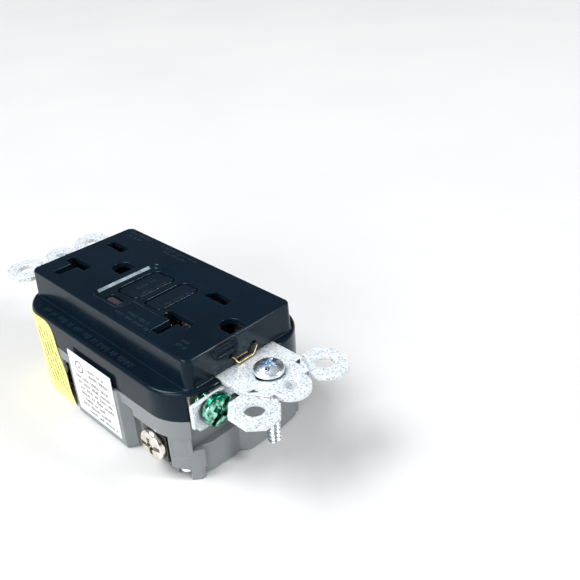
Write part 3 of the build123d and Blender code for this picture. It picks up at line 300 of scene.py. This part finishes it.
CLIP_BRASS = metal("clip_brass", (0.80, 0.62, 0.30), 0.24, (0.62, 0.42, 0.18), 0.4, (1, 0.1, 1))
INK = plastic("print_ink", (0.05, 0.05, 0.06), 0.5, 0.15, 0.3, 0.002)
TAPE_INK = plastic("tape_ink", (0.20, 0.18, 0.05), 0.5, 0.15, 0.3, 0.002)
# Raised legends of the cover's own moulding; their tone, lighter and bluer than the cover, is partly a
# painted highlight on the raised marks.
LEGEND = plastic("legend_highlit_plastic", (0.010, 0.022, 0.034), 0.30, 0.1, 0.4, 0.003, Specular_IOR_Level=0.2)

for node, obj in NODES.items():
    obj.data.materials.clear()
    obj.data.materials.append(MATERIALS[SLOT_OF[node]])


# ---- mesh helpers ------------------------------------------------------------------------
def place_piece(mesh, name, node, material, smooth_deg, stands_for=True):
    """Links a mesh as a piece that rides with a node's body, and stands for that node if asked."""
    obj = bpy.data.objects.new(name, mesh)
    bpy.context.scene.collection.objects.link(obj)
    mesh.materials.clear()
    mesh.materials.append(material)
    mesh.shade_smooth()
    mesh.set_sharp_from_angle(angle=math.radians(smooth_deg))
    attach(obj, BODY_OF[node])
    if stands_for:
        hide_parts(node)
    return obj


def mesh_of(name, verts, faces):
    """Mesh from millimetre points, with outward normals."""
    mesh = bpy.data.meshes.new(name)
    mesh.from_pydata([tuple(c * MM for c in v) for v in verts], [], faces)
    work = bmesh.new()
    work.from_mesh(mesh)
    bmesh.ops.recalc_face_normals(work, faces=work.faces)
    work.to_mesh(mesh)
    work.free()
    return mesh


# a box's faces, for its lower four corners in turn and then its upper four
BOX_FACES = [(3, 2, 1, 0), (4, 5, 6, 7), (0, 1, 5, 4), (1, 2, 6, 5), (2, 3, 7, 6), (3, 0, 4, 7)]
SAME_POINT = 0.002 * MM     # points and levels closer than this count as one


def bevel_sharp(work, width, segments, sharp_deg, clamp=False):
    """Rounds every edge that turns by more than sharp_deg."""
    limit = math.radians(sharp_deg)
    edges = [e for e in work.edges if len(e.link_faces) == 2 and e.calc_face_angle() > limit]
    bmesh.ops.bevel(work, geom=edges, offset=width * MM, offset_type="OFFSET", segments=segments,
                    profile=0.5, affect="EDGES", clamp_overlap=clamp, loop_slide=False)


def flat_region(seed, taken):
    """The faces that join a face in its own plane."""
    normal, base = seed.normal.copy(), seed.verts[0].co.copy()
    region, queue = {seed}, [seed]
    while queue:
        for edge in queue.pop().edges:
            for face in edge.link_faces:
                level = abs((face.verts[0].co - base).dot(normal)) < SAME_POINT
                alike = level and face.normal.dot(normal) > 0.99999
                if alike and face not in region and face not in taken:
                    region.add(face)
                    queue.append(face)
    return region


def refill_flats(work):
    """Fills every flat region afresh from its outline, so that faces round openings stay clean."""
    work.normal_update()
    work.edges.index_update()
    work.faces.index_update()
    taken, plans, old_faces, old_edges = set(), [], [], []
    for seed in work.faces:
        if seed in taken:
            continue
        region = flat_region(seed, taken)
        taken |= region
        if len(region) == 1 and len(seed.verts) <= 4:
            continue
        edges = sorted({edge for face in region for edge in face.edges}, key=lambda e: e.index)
        outline = [edge for edge in edges if sum(face in region for face in edge.link_faces) == 1]
        plans.append((seed.normal.copy(), [tuple(edge.verts) for edge in outline]))
        old_faces += sorted(region, key=lambda f: f.index)
        old_edges += [edge for edge in edges if edge not in outline]
    bmesh.ops.delete(work, geom=old_faces, context="FACES_ONLY")
    bmesh.ops.delete(work, geom=old_edges, context="EDGES")
    for normal, outline in plans:
        fill_outline(work, normal, outline)
    loose = [edge for edge in work.edges if not edge.link_faces]
    bmesh.ops.delete(work, geom=loose, context="EDGES")


def inside(spot, sides):
    """Whether a point of a plane lies inside an odd number of the loops made by a list of sides."""
    odd = False
    for a, b in sides:
        if (a.y > spot.y) != (b.y > spot.y) and spot.x < a.x + (spot.y - a.y) / (b.y - a.y) * (b.x - a.x):
            odd = not odd
    return odd


def fill_outline(work, normal, outline):
    """Triangles between the closed loops of a plane, with the loops inside others left open."""
    across = normal.orthogonal().normalized()
    along = normal.cross(across)
    corners = list(dict.fromkeys(vert for pair in outline for vert in pair))
    number = {vert: i for i, vert in enumerate(corners)}
    spots = [Vector((v.co.dot(across), v.co.dot(along))) / MM for v in corners]
    pairs = [(number[a], number[b]) for a, b in outline]
    level = corners[0].co.dot(normal)
    made, _, triangles, sources, _, _ = delaunay_2d_cdt(spots, pairs, [], 1, 1e-5, True)
    sides = [(spots[a], spots[b]) for a, b in pairs]
    verts = []
    for spot, origin in zip(made, sources):
        if origin:
            verts.append(corners[origin[0]])
        else:
            verts.append(work.verts.new((across * spot.x + along * spot.y) * MM + normal * level))
    for triangle in triangles:
        if inside(sum((made[i] for i in triangle), Vector((0, 0))) / 3, sides):
            work.faces.new([verts[i] for i in triangle])


def eased(node, width, segments, sharp_deg=32.0):
    """A copy of a CAD node with its sharp edges rounded, as mouldings and stampings have them."""
    work = bmesh.new()
    work.from_mesh(NODES[node].data)
    bmesh.ops.remove_doubles(work, verts=work.verts, dist=SAME_POINT)
    bmesh.ops.dissolve_limit(work, angle_limit=math.radians(0.5), verts=work.verts, edges=work.edges)
    bevel_sharp(work, width, segments, sharp_deg)
    refill_flats(work)
    mesh = bpy.data.meshes.new(node + "_eased")
    work.to_mesh(mesh)
    work.free()
    obj = place_piece(mesh, mesh.name, node, MATERIALS[SLOT_OF[node]], 40.0)
    flat = obj.modifiers.new("flat_faces", "WEIGHTED_NORMAL")
    flat.keep_sharp = True
    flat.weight = 80
    return obj


def lathe(profile, steps=64):
    """Closed solid of revolution about Z from (radius, z) points that start and end on the axis."""
    verts, faces = [(0.0, 0.0, profile[0][1])], []
    rings = profile[1:-1]
    for radius, z in rings:
        for k in range(steps):
            a = 2 * math.pi * k / steps
            verts.append((radius * math.cos(a), radius * math.sin(a), z))
    verts.append((0.0, 0.0, profile[-1][1]))
    last = len(verts) - 1
    for k in range(steps):
        n = (k + 1) % steps
        faces.append((0, 1 + k, 1 + n))
        for ring in range(len(rings) - 1):
            a, b = 1 + ring * steps, 1 + (ring + 1) * steps
            faces.append((a + k, b + k, b + n, a + n))
        tail = 1 + (len(rings) - 1) * steps
        faces.append((tail + k, last, tail + n))
    return verts, faces


def threaded(major, pitch, depth, z_low, z_high, point=0.6, steps=40, per_turn=8):
    """Closed screw thread about Z with a chamfered point at its low end."""
    rows = int((z_high - z_low) / pitch * per_turn)
    verts, faces = [], []
    for row in range(rows + 1):
        z = z_low + (z_high - z_low) * row / rows
        taper = max(0.0, 1 - (z - z_low) / point) * 0.75
        for k in range(steps):
            turn = (z / pitch - k / steps) % 1.0
            tooth = min(1.0, max(0.0, abs(2 * turn - 1) * 1.25 - 0.12))
            radius = major - depth * (1 - tooth) - taper
            a = 2 * math.pi * k / steps
            verts.append((radius * math.cos(a), radius * math.sin(a), z))
    for row in range(rows):
        for k in range(steps):
            a, b = row * steps, (row + 1) * steps
            n = (k + 1) % steps
            faces.append((a + k, a + n, b + n, b + k))
    faces.append(tuple(range(steps)))
    faces.append(tuple(rows * steps + k for k in range(steps)))
    return verts, faces


def box_mesh(x, y, z, size, turn=0.0):
    """Box of a size about a centre, turned about Z."""
    half = [s / 2 for s in size]
    verts = []
    for sz in (-1, 1):
        for sx, sy in ((-1, -1), (1, -1), (1, 1), (-1, 1)):
            p, q = sx * half[0], sy * half[1]
            verts.append((x + p * math.cos(turn) - q * math.sin(turn),
                          y + p * math.sin(turn) + q * math.cos(turn), z + sz * half[2]))
    return verts, BOX_FACES


def joined(parts):
    """One vertex and face list from several."""
    verts, faces = [], []
    for v, f in parts:
        shift = len(verts)
        verts += v
        faces += [tuple(i + shift for i in face) for face in f]
    return verts, faces


def cut(name, verts, faces, cutters, ease):
    """Mesh of a closed solid less several closed solids, with its new edges eased."""
    scene = bpy.context.scene.collection
    base = bpy.data.objects.new(name, mesh_of(name, verts, faces))
    scene.objects.link(base)
    tools = []
    for i, (v, f) in enumerate(cutters):
        tool = bpy.data.objects.new(f"{name}_tool{i}", mesh_of(f"{name}_tool{i}", v, f))
        scene.objects.link(tool)
        tools.append(tool)
        step = base.modifiers.new(f"cut{i}", "BOOLEAN")
        step.operation = "DIFFERENCE"
        step.solver = "EXACT"
        step.object = tool
    graph = bpy.context.evaluated_depsgraph_get()
    mesh = bpy.data.meshes.new_from_object(base.evaluated_get(graph))
    for obj in [base, *tools]:
        bpy.data.objects.remove(obj)
    work = bmesh.new()
    work.from_mesh(mesh)
    bmesh.ops.remove_doubles(work, verts=work.verts, dist=SAME_POINT)
    bevel_sharp(work, ease, 2, 38.0, clamp=True)
    work.to_mesh(mesh)
    work.free()
    return mesh


# ---- screws ------------------------------------------------------------------------------
def cross_slot(top, slot_length, slot_width, cross_length, cross_width, depth, turn):
    """Cutters of a combination drive: a slot, a tapered cross and a deeper socket in its middle."""
    tools = [box_mesh(0, 0, top, (slot_length, slot_width, 2 * depth * 0.8), turn)]
    tools.append(box_mesh(0, 0, top, (cross_width, cross_length, 2 * depth), turn))
    tools.append(box_mesh(0, 0, top, (cross_length, cross_width, 2 * depth), turn))
    socket = [(0.0, top + 1), (slot_width * 1.15, top + 1), (slot_width * 0.8, top - depth * 1.25),
              (0.0, top - depth * 1.5)]
    tools.append(lathe(socket, 24))
    return tools


def arc_profile(radius, height, dome, edge, under):
    """Screw-head section: a low dome, a rounded rim and a flat underside, top at z = 0."""
    points = [(0.0, 0.0)]
    for k in range(1, 7):
        share = k / 6
        reach = (radius - edge) * share
        points.append((reach, -dome * share * share))
    for k in range(1, 6):
        a = math.pi / 2 * k / 5
        points.append((radius - edge + edge * math.sin(a), -dome - edge * (1 - math.cos(a))))
    points.append((radius, -height + 0.12))
    points.append((radius - 0.12, -height))
    points.append((under, -height))
    points.append((0.0, -height))
    return points


def screw_piece(node, places, head, drive, thread):
    """Machine screws at matrices whose +Z is the drive side and whose origin is the head's top.

    head: radius, height, rise of the dome, radius of the rim's rounding, radius of the shank.
    drive: slot length and width, cross length and width, depth, turn in radians.
    thread: radius, pitch, depth, and the heights of its low and high ends.
    """
    parts = [cut(node + "_head", *lathe(arc_profile(*head)), cross_slot(0.0, *drive), 0.09)]
    parts.append(mesh_of(node + "_thread", *threaded(*thread)))
    work = bmesh.new()
    for where in places:
        for part in parts:
            placed = part.copy()
            placed.transform(where)
            work.from_mesh(placed)
    mesh = bpy.data.meshes.new(node + "_detail")
    work.to_mesh(mesh)
    work.free()
    return place_piece(mesh, node + "_detail", node, MATERIALS[SLOT_OF[node]], 38.0)


def looking(axis, origin):
    """Matrix that turns +Z to an axis and moves the origin to a point in millimetres."""
    turn = Vector(axis).to_track_quat("Z", "Y").to_matrix().to_4x4()
    return Matrix.Translation(Vector(origin) * MM) @ turn


TERMINAL_PITCH = 0.794      # 32 turns to the inch
MOUNTING_PITCH = 1.19       # coarser than the 0.794 of a real 6-32 screw, for looks alone
TERMINAL_R = 2.05
TERMINAL_THREAD = 0.36      # depth of the terminal screws' thread
TERMINAL_HEAD = (4.1, 1.8, 0.28, 0.62, TERMINAL_R)
GROUND_HEAD = (4.1, 2.2, 0.35, 0.7, TERMINAL_R)
GROUND_DRIVE = (7.4, 1.25, 5.0, 1.5, 1.15, 0.75)
MOUNTING_HEAD = (3.6, 2.1, 0.85, 0.45, 1.40)
MOUNTING_DRIVE = (5.4, 0.95, 3.9, 1.05, 0.95, 0.62)
MOUNTING_TOP_Z = 3.85
MOUNTING_NECK = 4.85        # from the head's top to the start of the thread
ASSEMBLY_HEAD_R = 1.7
ASSEMBLY_R = 0.88
ASSEMBLY_LENGTH = 22.0
for circuit, y_sign in (("line", -1), ("load", 1)):
    for pole, side in (("hot", 1), ("neutral", -1)):
        node = f"{circuit}_{pole}_screw"
        low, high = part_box(node)
        face_x = (high.x if side > 0 else low.x) / MM
        length = (high.x - low.x) / MM
        where = looking((side, 0, 0), (face_x, (low.y + high.y) / 2 / MM, (low.z + high.z) / 2 / MM))
        drive = (7.3, 1.15, 4.6, 1.25, 0.95, 0.55 + 0.4 * side)
        thread = (TERMINAL_R, TERMINAL_PITCH, TERMINAL_THREAD, -length, -1.7)
        screw_piece(node, [where], TERMINAL_HEAD, drive, thread)

low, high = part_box("ground_screw")
ground_at = ((low.x + high.x) / 2 / MM, low.y / MM, (low.z + high.z) / 2 / MM)
thread = (TERMINAL_R, TERMINAL_PITCH, TERMINAL_THREAD, -(high.y - low.y) / MM, -2.1)
screw_piece("ground_screw", [looking((0, -1, 0), ground_at)], GROUND_HEAD, GROUND_DRIVE, thread)

for place in ("upper", "lower"):
    node = place + "_mounting_screw"
    low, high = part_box(node)
    top = (low.x + high.x) / 2 / MM, (low.y + high.y) / 2 / MM, MOUNTING_TOP_Z
    thread = (1.74, MOUNTING_PITCH, 0.50, low.z / MM - MOUNTING_TOP_Z, -MOUNTING_NECK)
    screw_piece(node, [looking((0, 0, 1), top)], MOUNTING_HEAD, MOUNTING_DRIVE, thread)

low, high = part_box("assembly_screws")
reach_x, reach_y = high.x / MM - ASSEMBLY_HEAD_R, high.y / MM - ASSEMBLY_HEAD_R
corners = [looking((0, 0, -1), (x, y, low.z / MM))
           for x in (-reach_x, reach_x) for y in (-reach_y, reach_y)]
screw_piece("assembly_screws", corners, (ASSEMBLY_HEAD_R, 1.4, 0.45, 0.35, ASSEMBLY_R),
            (2.2, 0.5, 2.2, 0.5, 0.5, 0.5), (ASSEMBLY_R, 1.0, 0.16, -ASSEMBLY_LENGTH, -1.35))


# ---- mouldings and stampings with eased edges ---------------------------------------------
eased("front_cover", 0.26, 3)
eased("reset_button", 0.25, 3)
eased("test_button", 0.25, 3)
eased("back_body", 0.09, 2)
eased("mounting_strap", 0.15, 2)
eased("ground_terminal_bracket", 0.2, 2)
eased("light_pipe", 0.3, 3)
eased("rating_label", 0.03, 1)
for node in sorted(NODES):
    if node.endswith(("_clamp", "_terminal", "_washer")):
        eased(node, 0.1, 2)


# ---- lettering, as plain rows of bars -------------------------------------------------------
def bar_rows(rng, origin, along, down, rows, pitch, height, stroke, proud, sink=0.04):
    """Rows of small upright bars in word-like groups, standing proud of a plane."""
    along, down = Vector(along), Vector(down)
    out = down.cross(along)
    parts = []
    for row, (start, length) in enumerate(rows):
        reach = start
        letters = rng.randint(3, 8)
        while reach < start + length:
            if letters == 0:
                letters = rng.randint(3, 8)
                reach += stroke * 2.2
                continue
            letters -= 1
            tall = height * rng.choice((0.7, 0.7, 1.0))
            wide = stroke * rng.uniform(0.7, 1.25)
            corner = Vector(origin) + along * reach + down * (row * pitch + height - tall)
            verts = []
            for level in (-sink, proud):
                for p, q in ((0, 0), (wide, 0), (wide, tall), (0, tall)):
                    verts.append(tuple(corner + along * p + down * q + out * level))
            parts.append((verts, BOX_FACES))
            reach += wide + stroke * 0.75
    return joined(parts)


def ring(centre, first, second, outer, inner, proud, sink=0.04, steps=40):
    """Flat ring on the plane of two unit vectors."""
    centre, first, second = Vector(centre), Vector(first), Vector(second)
    out = first.cross(second)
    verts = []
    for radius, level in ((outer, -sink), (outer, proud), (inner, proud), (inner, -sink)):
        for k in range(steps):
            a = 2 * math.pi * k / steps
            around = first * radius * math.cos(a) + second * radius * math.sin(a)
            verts.append(tuple(centre + around + out * level))
    faces = []
    for k in range(steps):
        n = (k + 1) % steps
        for band in range(4):
            a, b = band * steps, (band + 1) % 4 * steps
            faces.append((a + k, a + n, b + n, b + k))
    return verts, faces


def lettering(name, node, parts, material):
    """Marks that ride with a node and stand for none."""
    place_piece(mesh_of(name, *joined(parts)), name, node, material, 30.0, stands_for=False)


rng = random.Random(11)
FACE_TOP, FLANGE_TOP = 9.0, 1.3
RIGHT, LEFT, AWAY, NEARER = (1, 0, 0), (-1, 0, 0), (0, 1, 0), (0, -1, 0)
UP, DOWN = (0, 0, 1), (0, 0, -1)
BUTTON_SLOPE = -0.06        # fall of a button's top along Y

# raised legends on the face and the flange
face_marks = [
    bar_rows(rng, (15.2, 21.0, FACE_TOP), AWAY, LEFT, [(0, 10), (2, 7)], 1.7, 1.1, 0.28, 0.07),
    bar_rows(rng, (15.2, 0.5, FACE_TOP), AWAY, LEFT, [(0, 15), (3, 9)], 1.7, 1.1, 0.28, 0.07),
    bar_rows(rng, (-14.6, -3.2, FACE_TOP), NEARER, RIGHT, [(0, 14), (3, 8)], 1.7, 1.1, 0.28, 0.07),
    bar_rows(rng, (-13.6, -25.8, FACE_TOP), NEARER, RIGHT, [(0, 3.2), (0, 2.4)], 1.6, 1.1, 0.28, 0.07),
]
lettering("face_legends", "front_cover", face_marks, LEGEND)
flange_marks = [bar_rows(rng, (-20.2, 24.0, FLANGE_TOP), NEARER, RIGHT, [(0, 40)], 1.7, 1.7, 0.42, 0.06)]
lettering("flange_legend", "front_cover", flange_marks, LEGEND)


# ---- button legends ---------------------------------------------------------------------------
def slope_rows(node, rows, pitch):
    """Bars that lie on a button's sloping top."""
    low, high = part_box(node)
    top = max(v.co.z for v in NODES[node].data.vertices) / MM
    near = low.y / MM + 0.55
    middle = (low.x + high.x) / 2 / MM
    slope = Vector((0, 1, BUTTON_SLOPE)).normalized()
    parts = []
    for i, width in enumerate(rows):
        reach = 1.6 + pitch * i
        origin = Vector((middle - width / 2, near + reach, top + BUTTON_SLOPE * reach))
        parts.append(bar_rows(rng, origin, RIGHT, tuple(-slope), [(0, width)], 1.5, 1.15, 0.3, 0.06, 0.2))
    return parts


lettering("test_legend", "test_button", slope_rows("test_button", (7.5, 6.0), 3.2), LEGEND)
lettering("reset_legend", "reset_button", slope_rows("reset_button", (7.5,), 2.6), LEGEND)

# ---- rating label print ------------------------------------------------------------------------
low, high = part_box("rating_label")
label_x = low.x / MM
label_top, label_left = high.z / MM, high.y / MM
label_rows = [(0.0, 14.5), (0.4, 15.5), (1.0, 14.0), (0.6, 15.0), (2.0, 9.0), (0.4, 13.0), (3.0, 12.5)]
label_parts = [
    bar_rows(rng, (label_x, label_left - 8.6, label_top - 2.3), NEARER, DOWN, [(0, 7.0), (0, 8.6)], 1.75,
             1.05, 0.33, 0.02),
    bar_rows(rng, (label_x, label_left - 2.2, label_top - 6.3), NEARER, DOWN, label_rows, 1.78,
             1.1, 0.33, 0.02),
    ring((label_x, label_left - 4.6, label_top - 3.6), NEARER, UP, 1.8, 1.45, 0.02),
    bar_rows(rng, (label_x, label_left - 4.1, label_top - 3.2), NEARER, DOWN, [(0, 1.0)], 1.0,
             0.9, 0.3, 0.02),
]
lettering("label_print", "rating_label", label_parts, INK)

# ---- warning tape ----------------------------------------------------------------------------
low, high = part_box("warning_tape")
TAPE_OUT_X = -low.x / MM           # outside of the film on the neutral side
TAPE_THICK = 0.14
TAPE_TOP, TAPE_FOOT = high.z / MM, low.z / MM
BODY_END_Y, BODY_CORNER_R = 35.6, 11.5
BEND_START_Y = BODY_END_Y - BODY_CORNER_R
BEND_R = BODY_CORNER_R + 0.19
TAPE_END_ARC = 16.5
TAPE_EDGE_Y = 18.3          # where the free edge is at z = 0.2
TAPE_SLANT = 4.0 / 23.0     # how far the free edge leans along Y for each mm of height
TAPE_CORNER_R = 2.6
PRINT_INSET = 1.5           # from the free edge to the first column of print
PRINT_COLUMN = 1.62         # between the columns


def tape_point(arc, z, proud):
    """Point on the tape's outside, arc mm past the start of the body's far corner."""
    if arc <= 0:
        return (-TAPE_OUT_X - proud, BEND_START_Y + arc, z)
    angle = arc / BEND_R
    reach = BEND_R + proud
    return (-(TAPE_OUT_X - BEND_R) - reach * math.cos(angle), BEND_START_Y + reach * math.sin(angle), z)


def slanted_edge(z):
    """Arc position of the line along which the tape was cut."""
    return TAPE_EDGE_Y - BEND_START_Y + TAPE_SLANT * (z - 0.2)


def tape_edge(z):
    """Arc position of the tape's free edge, with its rounded top corner."""
    edge = slanted_edge(z)
    over = z - (TAPE_TOP - TAPE_CORNER_R)
    if over > 0:
        edge += TAPE_CORNER_R - math.sqrt(max(0.0, TAPE_CORNER_R ** 2 - over * over))
    return edge


def tape_lift(arc, z, past):
    """How far the film stands off, most near its free edge, past mm from it."""
    curl = 0.10 * math.sin(z * 0.55 + 0.4) * math.exp(-(past / 3.0) ** 2)
    return curl + 0.05 * math.sin(z * 0.31 + arc * 0.5)


def make_tape():
    """The film, as an outer and an inner skin closed along their rim."""
    rows, columns = 48, 44
    outer = []
    for i in range(rows + 1):
        z = TAPE_TOP + (TAPE_FOOT - TAPE_TOP) * i / rows
        start = tape_edge(z)
        for j in range(columns + 1):
            arc = start + (TAPE_END_ARC - start) * j / columns
            outer.append((arc, z, tape_lift(arc, z, arc - start)))
    verts = [tape_point(a, z, lift) for a, z, lift in outer]
    verts += [tape_point(a, z, lift - TAPE_THICK) for a, z, lift in outer]
    count, width = len(outer), columns + 1
    faces = []
    for i in range(rows):
        for j in range(columns):
            a = i * width + j
            faces.append((a, a + 1, a + width + 1, a + width))
            faces.append((count + a, count + a + width, count + a + width + 1, count + a + 1))
    rim = list(range(columns)) + [i * width + columns for i in range(rows)]
    rim += [rows * width + j for j in range(columns, 0, -1)] + [i * width for i in range(rows, 0, -1)]
    for k, a in enumerate(rim):
        b = rim[(k + 1) % len(rim)]
        faces.append((a, count + a, count + b, b))
    mesh = mesh_of("warning_tape_film", verts, faces)
    place_piece(mesh, "warning_tape_film", "warning_tape", MATERIALS["yellow_tape"], 50.0)


make_tape()


def tape_print():
    """Small bars in columns that follow the slant of the tape's free edge."""
    parts = []
    for column in range(5):
        z = TAPE_TOP - 3.2 - rng.uniform(0, 1.2)
        stop = TAPE_FOOT + 3.0 + rng.uniform(0, 2.0)
        letters = rng.randint(4, 9)
        while z > stop:
            letters -= 1
            if letters == 0:
                letters = rng.randint(4, 9)
                z -= 0.7
                continue
            tall = 0.75 * rng.choice((0.7, 1.0, 1.0))
            past = PRINT_INSET + column * PRINT_COLUMN
            arc = slanted_edge(z) + past
            wide = 0.30 * rng.uniform(0.8, 1.3)
            lift = tape_lift(arc, z, past)
            verts = []
            for level in (lift - 0.05, lift + 0.03):
                for da, dz in ((0, 0), (tall, 0), (tall, -wide), (0, -wide)):
                    verts.append(tape_point(arc + da, z + dz, level))
            parts.append((verts, BOX_FACES))
            z -= wide + 0.22
    return parts


lettering("tape_print", "warning_tape", tape_print(), TAPE_INK)


# ---- self-grounding clip ----------------------------------------------------------------------
def swept_strip(path, width, thick):
    """Flat strip bent along a path of points, its width along Y."""
    verts, faces = [], []
    for i, point in enumerate(path):
        before = Vector(path[max(i - 1, 0)])
        after = Vector(path[min(i + 1, len(path) - 1)])
        tangent = (after - before).normalized()
        side = tangent.cross(Vector((0, 1, 0))).normalized()
        here = Vector(point)
        for p, q in ((-1, -1), (1, -1), (1, 1), (-1, 1)):
            verts.append(tuple(here + Vector((0, 1, 0)) * (p * width / 2) + side * (q * thick / 2)))
    for i in range(len(path) - 1):
        for k in range(4):
            a, n = i * 4, (k + 1) % 4
            faces.append((a + k, a + n, a + 4 + n, a + 4 + k))
    faces += [(0, 1, 2, 3), tuple(len(verts) - 4 + k for k in range(4))]
    return verts, faces


def rounded_path(corners, radius, steps=6):
    """Corner points joined by straight runs with small round bends."""
    points = [Vector(corners[0])]
    for before, corner, after in zip(corners, corners[1:], corners[2:]):
        c = Vector(corner)
        start = c + (Vector(before) - c).normalized() * radius
        end = c + (Vector(after) - c).normalized() * radius
        for k in range(steps + 1):
            t = k / steps
            points.append(start * (1 - t) ** 2 + c * 2 * t * (1 - t) + end * t * t)
    return [tuple(p) for p in points + [Vector(corners[-1])]]


CLIP_Y, CLIP_ROOT_Y = -34.3, -33.0
CLIP_WIDTH, CLIP_THICK, CLIP_BEND_R = 0.45, 0.30, 0.55
clip_line = [(-3.95, CLIP_ROOT_Y, 4.1), (-3.95, CLIP_Y, 4.05), (-2.75, CLIP_Y, 1.95),
             (2.1, CLIP_Y, 1.95), (3.4, CLIP_Y, 4.05), (3.4, CLIP_ROOT_Y, 4.1)]
clip_strip = swept_strip(rounded_path(clip_line, CLIP_BEND_R), CLIP_WIDTH, CLIP_THICK)
clip_mesh = mesh_of("ground_clip_strip", *clip_strip)
place_piece(clip_mesh, "ground_clip_strip", "self_ground_clip", CLIP_BRASS, 45.0)


# ---- floor, light and camera -----------------------------------------------------------------
def make_floor():
    """A pale sheet just under the feet."""
    size, z = 6.0, CAD_BOX[0].z - 0.03 * MM
    corners = [(-size, -size, z), (size, -size, z), (size, size, z), (-size, size, z)]
    mesh = bpy.data.meshes.new("floor")
    mesh.from_pydata(corners, [], [(0, 1, 2, 3)])
    s = Shader("floor_white", 0.5, Specular_IOR_Level=0.3)
    share = s.spread(s.noise(90.0, 4.0), 0.3, 0.7, 0.0, 1.0)
    s.colour(s.mix(share, (0.63, 0.635, 0.64, 1), (0.66, 0.662, 0.665, 1)))
    mesh.materials.append(s.material)
    floor = bpy.data.objects.new("floor", mesh)
    bpy.context.scene.collection.objects.link(floor)


def soft_light(name, direction, distance, size, power):
    """White softbox that looks at the object."""
    data = bpy.data.lights.new(name, "AREA")
    data.shape = "RECTANGLE"
    data.size, data.size_y = size
    data.energy = power
    lamp = bpy.data.objects.new(name, data)
    lamp.location = Vector(direction).normalized() * distance
    lamp.rotation_mode = "QUATERNION"
    lamp.rotation_quaternion = Vector(direction).to_track_quat("Z", "Y")
    bpy.context.scene.collection.objects.link(lamp)


def make_world():
    """Studio room: pale at the horizon, dim above it and bright overhead."""
    world = bpy.data.worlds.new("studio")
    world.use_nodes = True
    tree = world.node_tree
    background = tree.nodes["Background"]
    coords = tree.nodes.new("ShaderNodeTexCoord")
    split = tree.nodes.new("ShaderNodeSeparateXYZ")
    ramp = tree.nodes.new("ShaderNodeValToRGB")
    tree.links.new(coords.outputs["Generated"], split.inputs[0])
    tree.links.new(split.outputs["Z"], ramp.inputs[0])
    tree.links.new(ramp.outputs[0], background.inputs["Color"])
    steps = [(0.0, 2.1), (0.07, 1.9), (0.24, 0.20), (0.62, 0.17), (0.86, 1.0), (1.0, 1.1)]
    marks = ramp.color_ramp.elements
    while len(marks) < len(steps):
        marks.new(0.5)
    for mark, (spot, level) in zip(marks, steps):
        mark.position = spot
        mark.color = (level, level, level * 1.02, 1)
    background.inputs["Strength"].default_value = 0.46
    bpy.context.scene.world = world


def make_camera():
    """Camera above the near neutral corner, held with a slight roll."""
    place = Vector((-88.708, -140.224, 101.166)) * MM
    target = Vector((28.532, -20.753, 1.97)) * MM
    roll = math.radians(-3.0745)
    forward = (target - place).normalized()
    right = forward.cross(Vector((0, 0, 1))).normalized()
    up = right.cross(forward)
    cos, sin = math.cos(roll), math.sin(roll)
    right, up = right * cos + up * sin, up * cos - right * sin
    data = bpy.data.cameras.new("camera")
    data.sensor_width = 36.0
    data.lens = 45.0
    data.clip_start, data.clip_end = 0.005, 50.0
    camera = bpy.data.objects.new("camera", data)
    axes = Matrix((right, up, -forward)).transposed().to_4x4()
    camera.matrix_world = Matrix.Translation(place) @ axes
    bpy.context.scene.collection.objects.link(camera)
    bpy.context.scene.camera = camera


make_floor()
make_world()
soft_light("overhead", (-0.42, 0.32, 0.85), 4.0, (2.2, 2.2), 175.0)
soft_light("left_fill", (-1.0, -0.30, 0.42), 3.0, (1.9, 1.3), 56.0)
soft_light("front_glint", (0.46, -0.68, 0.57), 2.2, (0.42, 0.42), 27.0)
make_camera()
bpy.context.scene.view_settings.view_transform = "Standard"
bpy.context.scene.view_settings.look = "None"
